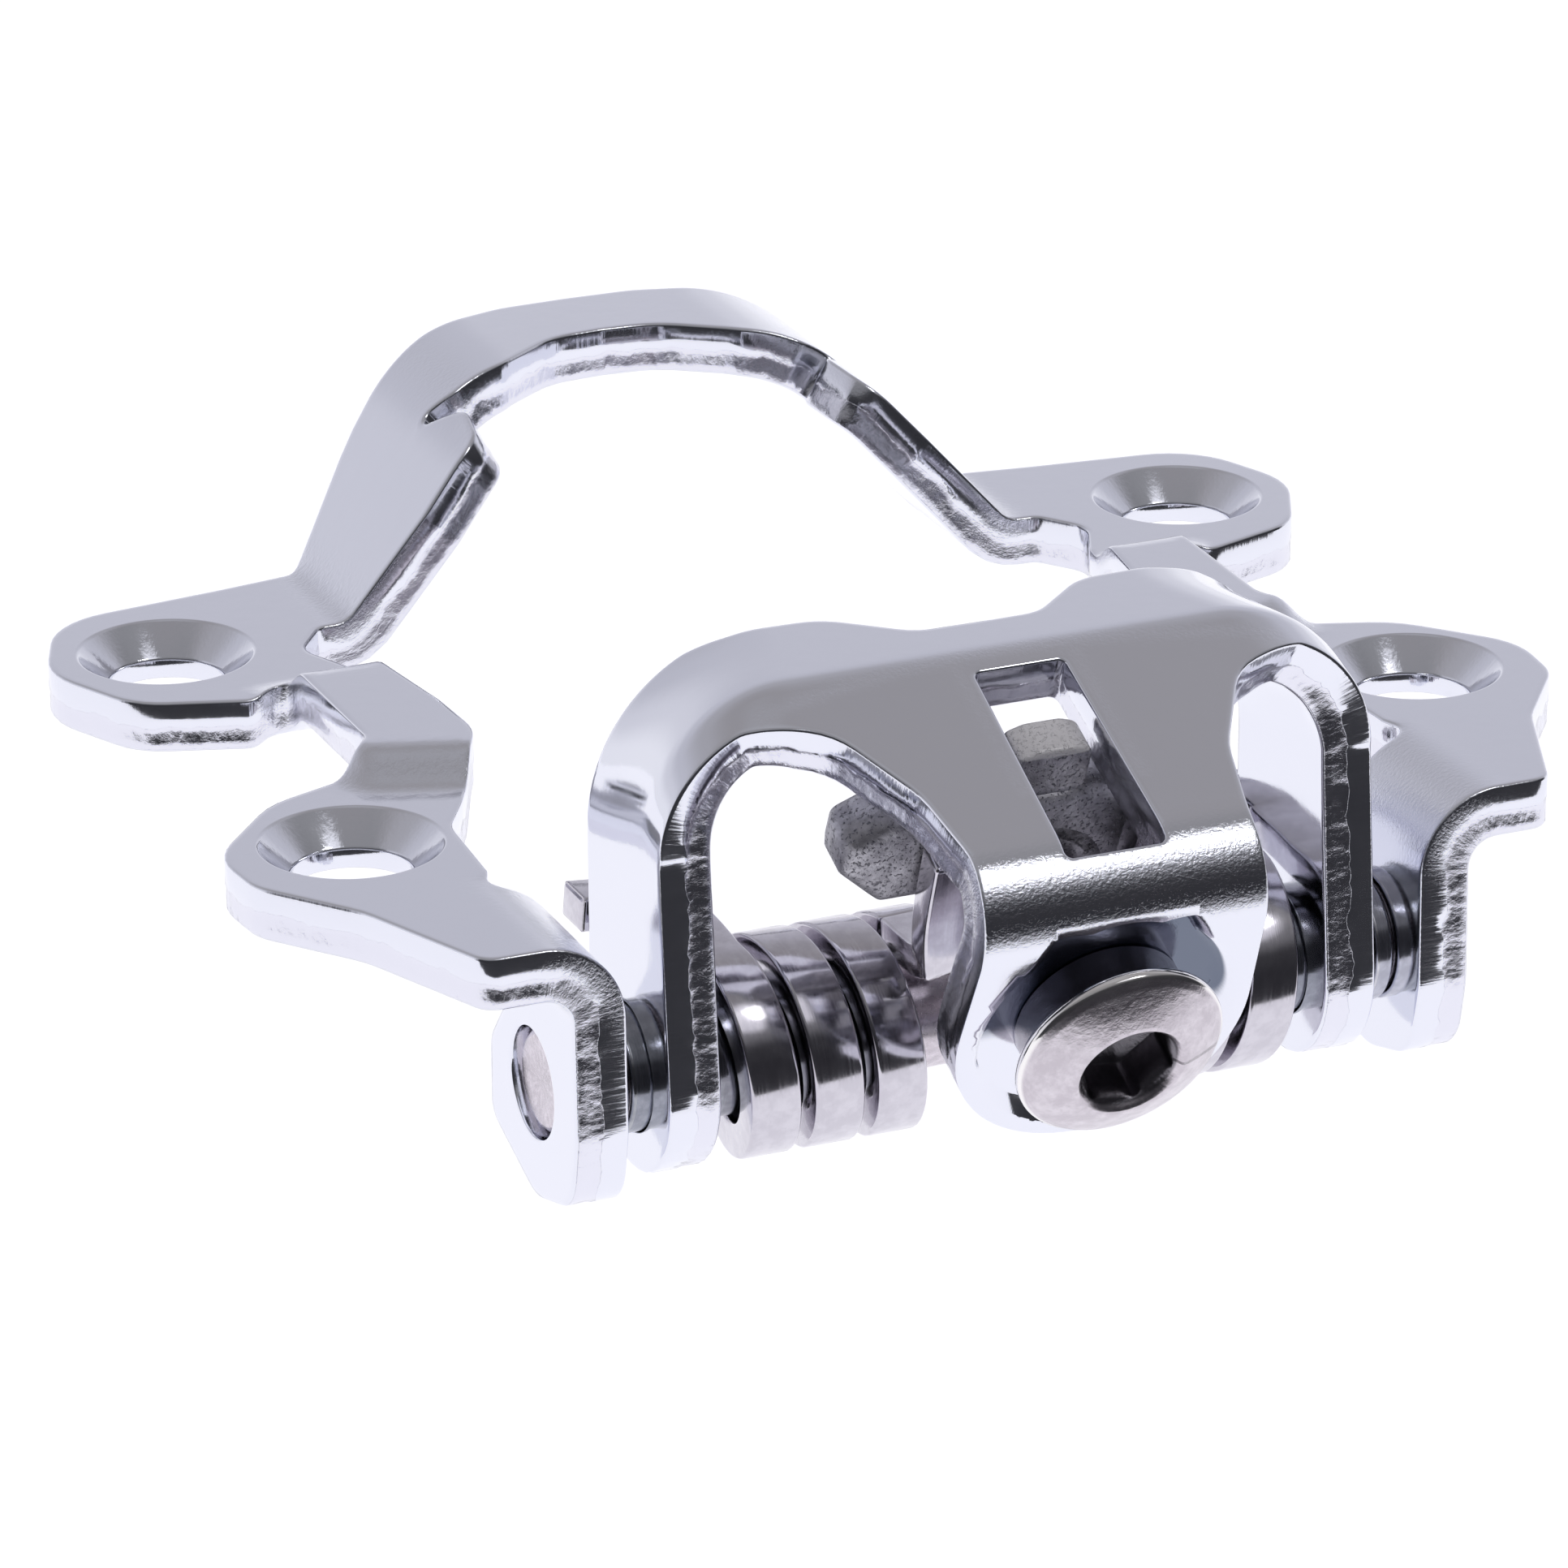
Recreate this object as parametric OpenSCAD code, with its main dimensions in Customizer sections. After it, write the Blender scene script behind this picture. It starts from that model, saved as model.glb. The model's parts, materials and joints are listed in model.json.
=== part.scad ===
// Clipless pedal cleat binding: a bent sheet-steel frame plate with a fixed front hoop, and a
// sprung rear jaw on a hinge pin, with a tension bolt and its travelling nut.
// Origin: centre of the four mounting holes, on the underside of the ears.
// +Y points to the front hoop, +Z points up to the shoe, X runs along the hinge pin.

/* [Sheet metal] */
// Thickness of the pressed steel sheet
sheet_t = 2.5; // [2:0.1:3]
// Height by which the side strips are raised above the ears
strip_rise = 1.4; // [0.8:0.1:2]

/* [Mounting holes] */
// Spacing of the mounting holes across the binding
hole_span_x = 54; // [52:0.5:56]
// Spacing of the mounting holes along the binding
hole_span_y = 26; // [25:0.5:28]
// Diameter of the mounting holes
hole_d = 5.6; // [5.2:0.1:6]
// Diameter of the countersinks at the top face
countersink_d = 8.5; // [7.5:0.1:9]

/* [Front hoop] */
// Height of the hoop's top face above the ears' underside
hoop_top_z = 11.85; // [9:0.05:13]
// Half the distance between the feet of the hoop's legs
hoop_foot_x = 17.7; // [17:0.1:18.5]
// Half the distance between the upper bends of the hoop
hoop_shoulder_x = 9.35; // [8.8:0.05:10]

/* [Hinge] */
// Diameter of the hinge pin
pin_d = 5; // [4:0.1:5]
// Distance of the hinge pin behind the origin
pin_back = 22.8; // [22:0.1:23.5]
// Depth of the hinge pin below the ears' underside
pin_drop = 6.3; // [5.8:0.1:6.8]
// Half the distance between the inner faces of the hinge tabs
tab_inner_x = 19.7; // [19.5:0.1:20]

/* [Rear jaw] */
// Half the width of the jaw over its legs
jaw_half_w = 17.6; // [17.2:0.1:17.8]
// Height of the jaw's flat front lip
jaw_top_z = 12.2; // [11.8:0.1:12.6]
// Distance behind the origin of the crease between the front lip and the sloping back
crease_back = 25.4; // [25:0.1:26]
// Slope of the jaw's back and of the tension bolt
jaw_slope = 24; // [22:0.5:26]

/* [Springs] */
// Outside diameter of the torsion springs
spring_od = 10.2; // [9.6:0.1:10.4]
// Width of the spring wire along the pin
wire_w = 2.45; // [2:0.05:2.5]
// Thickness of the spring wire outwards from the pin
wire_h = 1.7; // [1.3:0.1:1.8]
// Distance between one turn and the next
spring_pitch = 3.1; // [3:0.05:3.2]

/* [Tension bolt] */
// Thread diameter of the tension bolt
bolt_d = 5; // [4:0.5:5]
// Diameter of the bolt's domed head
bolt_head_d = 9.8; // [9:0.1:10.5]
// Width across the flats of the hexagon socket
socket_af = 4; // [3:0.5:4]

/* [Hidden] */
$fn = 64;

chrome = [0.78, 0.79, 0.82];
spring_steel = [0.55, 0.55, 0.58];
nickel = [0.72, 0.70, 0.70];
sintered = [0.35, 0.35, 0.37];

eps = 0.01;            // overlap that joins solids and clears cutters
through = 60;          // length of a cutter that passes right through
arc_step = 12;         // degrees between the points of a rounded outline corner

hole_x = hole_span_x / 2;
hole_y = hole_span_y / 2;
ear_joint_x = 18.5;    // where the hoop's foot runs level into the ear
strip_in_x = 17.9;
shoulder_r = 5.5;      // inner radius of the hoop's upper bends
strip_out_x = 23.2;

pin_r = pin_d / 2;
pin_y = -pin_back;
pin_z = -pin_drop;
tab_outer_x = tab_inner_x + sheet_t;
pin_recess = 0.35;     // how far each pin end sits inside its tab
tab_bend_r = 1.4;      // inner radius of the tab's bend
tab_neck_front = -20.4;
arm_rear_y = -28.2;

fit = 0.05;            // radial clearance of the running fits
bush_r = 3;
bush_inner_x = 6.5;
washer_r = 3.1;
washer_t = 0.9;
washer_gap = 0.1;

jaw_inner_x = jaw_half_w - sheet_t;
jaw_corner_r = 8.5;    // outer radius between the jaw's top and its legs
jaw_front_y = -18.2;
tongue_s = 15.4;       // outer face of the tongue, measured down the slope from the crease
tongue_bend_r = 1.5;   // inner radius of the bend between the back and the tongue
tongue_half_w = 6.7;
bolt_h = -8.7;         // bolt axis below the back's outer face
tongue_end_r = 7.1;
window_front_s = 1.3;
window_rear_s = 12.8;
window_half_w = 2.3;
recess_r = 6;
recess_depth = 1;
ear_angle = 30;        // the recess's pointed corners stand this far either side of upright
ear_reach = 6.7;

nut_front_s = 3.6;
nut_t = 3;
nut_wing_x = 9.6;
nut_boss_r = 3.8;
indicator_half_w = 1.85;
indicator_front_s = 4.1;
indicator_t = 1.6;
indicator_top_h = -0.55;

coil_r = (spring_od - wire_h) / 2;
coil_start_x = 13.2;
coil_turns = 3;
coil_sides = 30;       // straight pieces in one turn of the swept wire
wire_front_y = -16.6;
wire_tip_x = 17.95;
wire_tip_z = -0.9;

// Points of an outline whose corners are rounded. Each corner is [x, y, radius].
function rounded(corners) = [
    for (i = [0 : len(corners) - 1])
        let (
            n = len(corners),
            p = corners[i],
            a = corners[(i + n - 1) % n],
            b = corners[(i + 1) % n],
            to_a = unit([a[0] - p[0], a[1] - p[1]]),
            to_b = unit([b[0] - p[0], b[1] - p[1]]),
            half = acos(min(1, max(-1, to_a * to_b))) / 2,
            r = p[2],
            centre = [p[0], p[1]] + unit(to_a + to_b) * r / sin(half),
            start = [p[0], p[1]] + to_a * r / tan(half) - centre,
            turn = (to_a[0] * to_b[1] - to_a[1] * to_b[0] > 0 ? -1 : 1) * (180 - 2 * half),
            steps = max(1, ceil(abs(turn) / arc_step))
        )
        each r == 0 ? [[p[0], p[1]]] : [for (k = [0 : steps]) centre + turned(start, turn * k / steps)]
];

function unit(v) = v / norm(v);

function turned(v, angle) =
    [v[0] * cos(angle) - v[1] * sin(angle), v[0] * sin(angle) + v[1] * cos(angle)];

module both_sides() {
    children();
    mirror([1, 0, 0]) children();
}

// Extrudes an outline drawn as [y, z] from x to x + width.
module across_x(x, width) {
    translate([x, 0, 0]) rotate([90, 0, 90]) linear_extrude(width) children();
}

// Extrudes an outline drawn as [x, z] from y_back to y_front.
module along_y(y_back, y_front) {
    translate([0, y_front, 0]) rotate([90, 0, 0]) linear_extrude(y_front - y_back) children();
}

// Children are drawn in the jaw's sloping frame: x, then s down the slope, then h off the outer face.
module on_slope() {
    translate([0, -crease_back, jaw_top_z]) rotate([jaw_slope, 0, 0]) mirror([0, 1, 0]) children();
}

// A cylinder along the slope, centred on the bolt axis, from s to s + length.
module bolt_cylinder(s, length, r1, r2) {
    on_slope() translate([0, s, bolt_h]) rotate([-90, 0, 0]) cylinder(length, r1, r2);
}

// ---- Frame plate ----

module front_ear_outline() {
    polygon(rounded([
        [ear_joint_x, 13.1, 0], [19.2, 13.0, 0.8], [20.9, 10.6, 1.6], [19.6, 7.6, 1.4],
        [strip_in_x, 7.2, 0.4], [strip_in_x, 5.0, 0], [strip_out_x, 5.0, 0], [23.2, 6.4, 0.6], [25.2, 5.2, 1.2],
        [30.6, 7.0, 3.5], [33.2, 12.6, 4.5], [30.8, 18.9, 4.5], [22.0, 19.9, 6],
        [ear_joint_x, 20.1, 0]
    ]));
}

module rear_ear_outline() {
    polygon(rounded([
        [strip_out_x, -4.6, 0], [24.6, -5.7, 1.6], [29.0, -7.3, 5], [33.2, -12.2, 4],
        [32.8, -16.2, 3], [29.3, -20.8, 5], [26.4, arm_rear_y + 0.4, 1], [24.4, arm_rear_y, 0.6],
        [tab_outer_x + tab_bend_r, arm_rear_y, 0], [tab_outer_x + tab_bend_r, tab_neck_front, 0],
        [22.5, -18.6, 1.2], [22.4, -13.0, 3], [20.4, -10.0, 2], [18.2, -6.2, 2], [strip_in_x, -4.6, 0]
    ]));
}

module hoop_outline() {
    polygon(rounded([
        [-eps, 28.8, 0], [3.6, 28.7, 5], [8.2, 27.4, 4], [13.0, 25.2, 8], [17.9, 20.5, 1],
        [ear_joint_x + eps, 20.1, 0], [ear_joint_x + eps, 13.1, 0], [13.5, 13.4, 1.2],
        [10.2, 14.4, 1.6], [9.6, 17.6, 1.2], [11.9, 20.1, 0.5], [9.4, 19.8, 1.5], [6.4, 20.7, 3],
        [2.8, 23.3, 4], [-eps, 23.5, 0]
    ]));
}

// Cross-section of the hoop, drawn as [x, z]: ears, sloping legs and level top.
module hoop_section() {
    leg_angle = atan2(hoop_top_z - sheet_t, hoop_foot_x - hoop_shoulder_x);
    shift = sheet_t * tan(leg_angle / 2);
    far = 22;
    tight = 1.2;
    polygon(rounded([
        [-eps, hoop_top_z, 0], [hoop_shoulder_x, hoop_top_z, shoulder_r + sheet_t],
        [hoop_foot_x, sheet_t, tight], [far, sheet_t, 0], [far, 0, 0],
        [hoop_foot_x - shift, 0, tight + sheet_t],
        [hoop_shoulder_x - shift, hoop_top_z - sheet_t, shoulder_r],
        [-eps, hoop_top_z - sheet_t, 0]
    ]));
}

module hoop_half() {
    intersection() {
        linear_extrude(hoop_top_z + 1) hoop_outline();
        along_y(10, 30) hoop_section();
    }
}

// The raised side strip, drawn as [y, z] and as wide as the strip.
module side_strip() {
    front = 7.0;
    back = -9.0;
    ramp = 2.6;
    across_x(strip_in_x, strip_out_x - strip_in_x)
        polygon([
            [front, 0], [front, sheet_t], [front - ramp, sheet_t + strip_rise],
            [back + ramp + 1, sheet_t + strip_rise], [back + 1.4, sheet_t], [back + 1.4, 0],
            [back + ramp + 1.6, strip_rise], [front - ramp - 0.6, strip_rise]
        ]);
}

// The corner of the strip that swings outwards to the rear ear.
module strip_heel() {
    linear_extrude(sheet_t)
        polygon([[strip_in_x, -4.6], [strip_out_x, -4.6], [24.6, -6.2], [24.0, -9.5], [19.8, -8.6]]);
}

// Bend that turns the arm down into the hinge tab.
module tab_bend() {
    translate([tab_outer_x + tab_bend_r, tab_neck_front, -tab_bend_r])
        rotate([90, 0, 0])
            rotate([0, 0, 90])
                rotate_extrude(angle = 90)
                    translate([tab_bend_r, 0]) square([sheet_t, tab_neck_front - arm_rear_y]);
}

module hinge_tab() {
    across_x(tab_inner_x, sheet_t)
        polygon(rounded([
            [tab_neck_front, -tab_bend_r + eps, 0], [tab_neck_front, -2.6, 1.5],
            [-17.6, -6.0, 1.5], [-17.5, -9.9, 1.2], [-23.0, -11.9, 3], [-27.6, -10.6, 2.6],
            [arm_rear_y - 0.1, -7.0, 3], [arm_rear_y, -tab_bend_r + eps, 0]
        ]));
}

module mounting_hole() {
    sink = (countersink_d - hole_d) / 2;
    translate([hole_x, 0, -1]) cylinder(through, d = hole_d);
    translate([hole_x, 0, sheet_t - sink]) cylinder(sink + eps, d1 = hole_d, d2 = countersink_d + 2 * eps);
}

module frame_half() {
    difference() {
        union() {
            linear_extrude(sheet_t) front_ear_outline();
            linear_extrude(sheet_t) rear_ear_outline();
            side_strip();
            strip_heel();
            tab_bend();
            hinge_tab();
        }
        translate([0, hole_y, 0]) mounting_hole();
        translate([0, -hole_y, 0]) mounting_hole();
    }
    hoop_half();
}

module frame_plate() {
    color(chrome)
        difference() {
            both_sides() frame_half();
            translate([-through / 2, pin_y, pin_z]) rotate([0, 90, 0]) cylinder(through, r = pin_r + fit);
        }
}

// ---- Hinge ----

// A ring or pin along X, centred on the hinge axis, from x to x + length.
module on_pin(x, length, r) {
    translate([x, pin_y, pin_z]) rotate([0, 90, 0]) cylinder(length, r = r);
}

module hinge_pin() {
    half = tab_outer_x - pin_recess;
    chamfer = 0.4;
    color(nickel) {
        on_pin(-half + chamfer, 2 * (half - chamfer), pin_r);
        both_sides()
            translate([half - chamfer, pin_y, pin_z])
                rotate([0, 90, 0]) cylinder(chamfer, r1 = pin_r, r2 = pin_r - chamfer);
    }
}

module pivot_bush() {
    outer_x = tab_inner_x - washer_t - 2 * washer_gap;
    color(spring_steel)
        difference() {
            on_pin(bush_inner_x, outer_x - bush_inner_x, bush_r);
            on_pin(bush_inner_x - 1, outer_x, pin_r + fit);
        }
}

module spacer_washer() {
    color(spring_steel)
        difference() {
            on_pin(tab_inner_x - washer_gap - washer_t, washer_t, washer_r);
            on_pin(tab_inner_x - 3, 4, pin_r + fit);
        }
}

// ---- Torsion springs ----

// Centre line of the right-hand spring's wire with its outward direction, as [point, outward].
function coil_path() = [
    for (k = [0 : coil_turns * coil_sides])
        let (angle = 360 * k / coil_sides, out = [0, -sin(angle), cos(angle)])
        [[coil_start_x - spring_pitch * k / coil_sides, pin_y, pin_z] + coil_r * out, out]
];

function slope_point(x, s, h) = [
    x,
    -crease_back - s * cos(jaw_slope) - h * sin(jaw_slope),
    jaw_top_z - s * sin(jaw_slope) + h * cos(jaw_slope)
];

// The outer leg runs forwards and rises, then turns out in front of the jaw's leg; the inner leg
// runs back, then up behind the nut's wing.
function spring_path() =
    let (
        top_z = pin_z + coil_r,
        inner_x = coil_start_x - spring_pitch * coil_turns,
        arm_s = nut_front_s + nut_t + wire_h / 2 + 0.3,
        up = [0, 0, 1],
        out_leg = [
            [[wire_tip_x, wire_front_y, wire_tip_z], up],
            [[coil_start_x + 2.0, wire_front_y, wire_tip_z - 0.3], up],
            [[coil_start_x + 0.7, wire_front_y - 0.4, wire_tip_z - 0.5], up],
            [[coil_start_x, wire_front_y - 1.6, wire_tip_z - 0.9], up],
            [[coil_start_x, pin_y + 2.6, top_z + 0.3], up]
        ],
        back = [0, cos(jaw_slope), sin(jaw_slope)],
        in_leg = [
            [[inner_x, pin_y - 3.4, top_z], up],
            [[inner_x + 0.1, pin_y - 4.6, top_z + 0.3], unit(up + 0.6 * back)],
            [slope_point(inner_x + 0.9, arm_s, -9.6), back],
            [slope_point(inner_x + 1.1, arm_s, -4.4), back]
        ]
    )
    concat(out_leg, coil_path(), in_leg);

// Corners of the flat wire at one station of its path.
function wire_ring(path, i) =
    let (
        last = len(path) - 1,
        p = path[i][0],
        along = unit(path[min(last, i + 1)][0] - path[max(0, i - 1)][0]),
        side = unit(cross(along, path[i][1])),
        out = cross(side, along)
    )
    [for (c = [[-1, -1], [1, -1], [1, 1], [-1, 1]])
        p + side * c[0] * wire_w / 2 + out * c[1] * wire_h / 2];

module torsion_spring() {
    path = spring_path();
    rings = [for (i = [0 : len(path) - 1]) wire_ring(path, i)];
    last = len(rings) - 1;
    sides = [
        for (i = [0 : last - 1], k = [0 : 3])
            [4 * i + k, 4 * i + (k + 1) % 4, 4 * i + 4 + (k + 1) % 4, 4 * i + 4 + k]
    ];
    ends = [[3, 2, 1, 0], [for (k = [0 : 3]) 4 * last + k]];
    color(spring_steel) polyhedron([for (ring = rings) each ring], concat(sides, ends));
}

// ---- Rear jaw ----

// Legs and level top of the jaw, drawn as [x, z].
module jaw_section() {
    floor_z = -14;
    polygon(rounded([
        [-jaw_half_w, floor_z, 0], [-jaw_half_w, jaw_top_z, jaw_corner_r],
        [jaw_half_w, jaw_top_z, jaw_corner_r], [jaw_half_w, floor_z, 0],
        [jaw_inner_x, floor_z, 0], [jaw_inner_x, jaw_top_z - sheet_t, jaw_corner_r - sheet_t],
        [-jaw_inner_x, jaw_top_z - sheet_t, jaw_corner_r - sheet_t], [-jaw_inner_x, floor_z, 0]
    ]));
}

// Side view of the jaw's bridge, drawn as [y, z], with the rounded eye around the pin.
module jaw_side_outline() {
    drop = tan(jaw_slope) * 2.1;
    polygon(rounded([
        [jaw_front_y + 2, jaw_top_z + 1, 0], [jaw_front_y, 9.5, 3], [jaw_front_y, -11.1, 4.8],
        [-28.4, -11.1, 4.8], [-27.0, 4.4, 8], [-27.5, jaw_top_z - drop, 0],
        [-crease_back, jaw_top_z, 0], [-crease_back, jaw_top_z + 1, 0]
    ]));
}

// Plan view of the jaw's front edge, which is waisted in the middle, half of it drawn.
module jaw_lip_outline() {
    polygon(rounded([
        [-eps, -22.1, 0], [3.0, -22.0, 2], [6.4, -18.9, 3], [11.0, -18.7, 3],
        [13.6, jaw_front_y, 0], [20, jaw_front_y, 0], [20, -28.6, 0], [-eps, -28.6, 0]
    ]));
}

module jaw_bridge() {
    intersection() {
        along_y(-30, -15) jaw_section();
        across_x(-20, 40) jaw_side_outline();
        translate([0, 0, -15]) linear_extrude(30) both_sides() jaw_lip_outline();
    }
}

// The sloping back, narrowed by an arch on either side, drawn as [x, s].
module jaw_back() {
    bend_start = tongue_s - tongue_bend_r - sheet_t;
    on_slope()
        translate([0, 0, -sheet_t])
            linear_extrude(sheet_t)
                both_sides()
                    polygon(rounded([
                        [-eps, 0, 0], [13.6, 0, 0], [13.6, 2.2, 0.8], [9.8, 3.6, 3],
                        [7.4, 8.0, 4], [tongue_half_w, bend_start + eps, 0], [-eps, bend_start + eps, 0]
                    ]));
}

module tongue_bend() {
    on_slope()
        translate([-tongue_half_w, tongue_s - tongue_bend_r - sheet_t, -tongue_bend_r - sheet_t])
            rotate([0, 90, 0])
                rotate([0, 0, 90])
                    rotate_extrude(angle = 90)
                        translate([tongue_bend_r, 0]) square([sheet_t, 2 * tongue_half_w]);
}

// The tongue that carries the bolt head, drawn as [x, h] on its outer face.
module tongue_plate() {
    on_slope()
        translate([0, tongue_s, 0])
            rotate([90, 0, 0])
                linear_extrude(sheet_t) {
                    translate([0, bolt_h]) circle(tongue_end_r);
                    polygon([
                        [-tongue_half_w, -tongue_bend_r - sheet_t + eps],
                        [tongue_half_w, -tongue_bend_r - sheet_t + eps],
                        [7.0, bolt_h], [-7.0, bolt_h]
                    ]);
                }
}

// Pressed seat of the bolt head: a round recess with two pointed upper corners.
module bolt_recess() {
    bolt_cylinder(tongue_s - recess_depth, 2, recess_r, recess_r);
    on_slope()
        translate([0, tongue_s + 1, bolt_h])
            rotate([90, 0, 0])
                linear_extrude(1 + recess_depth)
                    for (side = [-1, 1])
                        rotate([0, 0, side * ear_angle])
                            polygon([[-2.6, 4.4], [0, ear_reach], [2.6, 4.4]]);
}

module jaw_window() {
    on_slope()
        translate([0, 0, -sheet_t - 1])
            linear_extrude(sheet_t + 2)
                polygon(rounded([
                    [-window_half_w, window_front_s, 0.3], [window_half_w, window_front_s, 0.3],
                    [window_half_w, window_rear_s, 0.3], [-window_half_w, window_rear_s, 0.3]
                ]));
}

module rear_jaw() {
    color(chrome)
        difference() {
            union() {
                jaw_bridge();
                jaw_back();
                tongue_bend();
                tongue_plate();
            }
            jaw_window();
            bolt_recess();
            bolt_cylinder(tongue_s - sheet_t - 1, sheet_t + 2, bolt_d / 2 + 0.3, bolt_d / 2 + 0.3);
            on_pin(-through / 2, through, bush_r + fit);
        }
}

// ---- Tension bolt and nut ----

module nut_wings() {
    top_h = -sheet_t - 0.7;
    on_slope()
        translate([0, nut_front_s + nut_t, 0])
            rotate([90, 0, 0])
                linear_extrude(nut_t)
                    polygon(rounded([
                        [-nut_wing_x, top_h - 1.6, 1], [-nut_wing_x + 2.6, top_h, 1],
                        [nut_wing_x - 2.6, top_h, 1], [nut_wing_x, top_h - 1.6, 1],
                        [nut_wing_x, -6.6, 1], [nut_wing_x - 2.2, -8.4, 1],
                        [-nut_wing_x + 2.2, -8.4, 1], [-nut_wing_x, -6.6, 1]
                    ]));
}

module nut_indicator() {
    on_slope()
        across_x(-indicator_half_w, 2 * indicator_half_w)
            polygon(rounded([
                [indicator_front_s, -4.5, 0], [indicator_front_s, indicator_top_h - 0.2, 0.5],
                [indicator_front_s + 0.8, indicator_top_h, 0.8],
                [indicator_front_s + indicator_t, indicator_top_h - 0.3, 0.3],
                [indicator_front_s + indicator_t + 0.4, -4.5, 0]
            ]));
}

module tension_nut() {
    color(sintered)
        difference() {
            union() {
                nut_wings();
                nut_indicator();
                bolt_cylinder(nut_front_s, nut_t, nut_boss_r, nut_boss_r);
            }
            bolt_cylinder(nut_front_s - 1, nut_t + 2, bolt_d / 2 + fit, bolt_d / 2 + fit);
        }
}

module tension_bolt() {
    head_r = bolt_head_d / 2;
    rim_s = tongue_s + 1.3;
    rim_t = 0.6;
    dome = 1.6;
    face_r = 2.9;
    collar_r = 4;
    seat_s = tongue_s - recess_depth + 0.05;
    socket_depth = 2.2;
    shank_end_s = 1.9;
    color(nickel)
        difference() {
            union() {
                bolt_cylinder(shank_end_s, rim_s - shank_end_s, bolt_d / 2, bolt_d / 2);
                bolt_cylinder(seat_s, rim_s - seat_s + eps, collar_r, collar_r);
                bolt_cylinder(rim_s, rim_t, head_r, head_r);
                bolt_cylinder(rim_s + rim_t - eps, dome, head_r - 0.1, face_r);
            }
            on_slope()
                translate([0, rim_s + rim_t + dome - socket_depth, bolt_h])
                    rotate([-90, 0, 0])
                        cylinder(socket_depth + 1, r = socket_af / sqrt(3), $fn = 6);
        }
}

frame_plate();
hinge_pin();
mirror([1, 0, 0]) pivot_bush();  // pivot_bush_left
pivot_bush();  // pivot_bush_right
mirror([1, 0, 0]) spacer_washer();  // spacer_washer_left
spacer_washer();  // spacer_washer_right
mirror([1, 0, 0]) torsion_spring();  // spring_left
torsion_spring();  // spring_right
rear_jaw();
tension_nut();
tension_bolt();
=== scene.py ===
"""Detailed visual model of a clipless pedal cleat binding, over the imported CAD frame."""

import json
import math

import bpy
import numpy as np
from mathutils import Matrix, Vector, noise
from mathutils.geometry import delaunay_2d_cdt


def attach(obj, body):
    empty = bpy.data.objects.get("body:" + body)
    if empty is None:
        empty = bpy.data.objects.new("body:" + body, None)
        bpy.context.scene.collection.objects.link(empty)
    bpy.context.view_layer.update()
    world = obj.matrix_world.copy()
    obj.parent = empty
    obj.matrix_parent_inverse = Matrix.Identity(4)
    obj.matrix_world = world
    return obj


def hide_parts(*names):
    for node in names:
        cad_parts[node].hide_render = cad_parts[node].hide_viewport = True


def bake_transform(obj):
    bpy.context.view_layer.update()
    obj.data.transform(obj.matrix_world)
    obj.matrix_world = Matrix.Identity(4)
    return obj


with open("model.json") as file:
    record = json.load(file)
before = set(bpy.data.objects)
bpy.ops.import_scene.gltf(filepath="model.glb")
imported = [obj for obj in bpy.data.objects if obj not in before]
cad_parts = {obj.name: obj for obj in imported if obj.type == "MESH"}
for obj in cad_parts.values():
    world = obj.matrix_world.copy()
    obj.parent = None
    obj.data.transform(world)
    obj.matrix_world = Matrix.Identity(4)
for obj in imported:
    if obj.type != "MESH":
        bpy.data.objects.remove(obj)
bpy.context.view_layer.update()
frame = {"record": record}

MM = 0.001
SHEET = 2.5                 # sheet thickness
HINGE_Y, HINGE_Z = (1000 * v for v in frame["record"]["behaviour"]["joints"][0]["pos_m"][1:])
SLOPE = math.radians(24)    # slope of the jaw's back and of the tension bolt
CREASE_Y, LIP_Z = -25.4, 12.2
BOLT_H = -8.7               # bolt axis below the outer face of the jaw's back
PIN_R, BUSH_R = 2.5, 3.0    # outer radii of the hinge pin and of the pivot bushes
BOLT_R = 2.5                # radius of the tension bolt's shank


# ---------------------------------------------------------------- outlines

def rounded(corners, step=10.0, closed=True):
    """Points of an outline of corners (x, y, radius), each rounded by an arc of its radius."""
    n = len(corners)
    points = []
    for i, (x, y, r) in enumerate(corners):
        p = np.array([x, y], float)
        if r == 0 or (not closed and i in (0, n - 1)):
            points.append(p)
            continue
        a = np.array(corners[i - 1][:2], float) - p
        b = np.array(corners[(i + 1) % n][:2], float) - p
        a /= np.linalg.norm(a)
        b /= np.linalg.norm(b)
        half = math.acos(max(-1.0, min(1.0, float(a @ b)))) / 2
        centre = p + (a + b) / np.linalg.norm(a + b) * r / math.sin(half)
        start = p + a * r / math.tan(half) - centre
        turn = (math.pi - 2 * half) * (-1 if a[0] * b[1] - a[1] * b[0] > 0 else 1)
        count = max(2, math.ceil(abs(math.degrees(turn)) / step))
        for k in range(count + 1):
            c, s = math.cos(turn * k / count), math.sin(turn * k / count)
            points.append(centre + [start[0] * c - start[1] * s, start[0] * s + start[1] * c])
    return np.array(points)


def spaced(loop, spacing):
    """The closed loop with extra points, so that no side is longer than spacing."""
    points = []
    for a, b in zip(loop, np.roll(loop, -1, axis=0)):
        length = np.linalg.norm(b - a)
        if length < 1e-4:
            continue
        count = max(1, math.ceil(length / spacing))
        points += [a + (b - a) * k / count for k in range(count)]
    return np.array(points)


def signed_area(loop):
    """Area inside the loop, positive when it runs anticlockwise."""
    x, y = loop[:, 0], loop[:, 1]
    return 0.5 * float(np.sum(x * np.roll(y, -1) - np.roll(x, -1) * y))


def turned_so(loop, anticlockwise):
    """The loop, reversed if it does not run in the wanted direction."""
    return loop if (signed_area(loop) > 0) == anticlockwise else loop[::-1]


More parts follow.
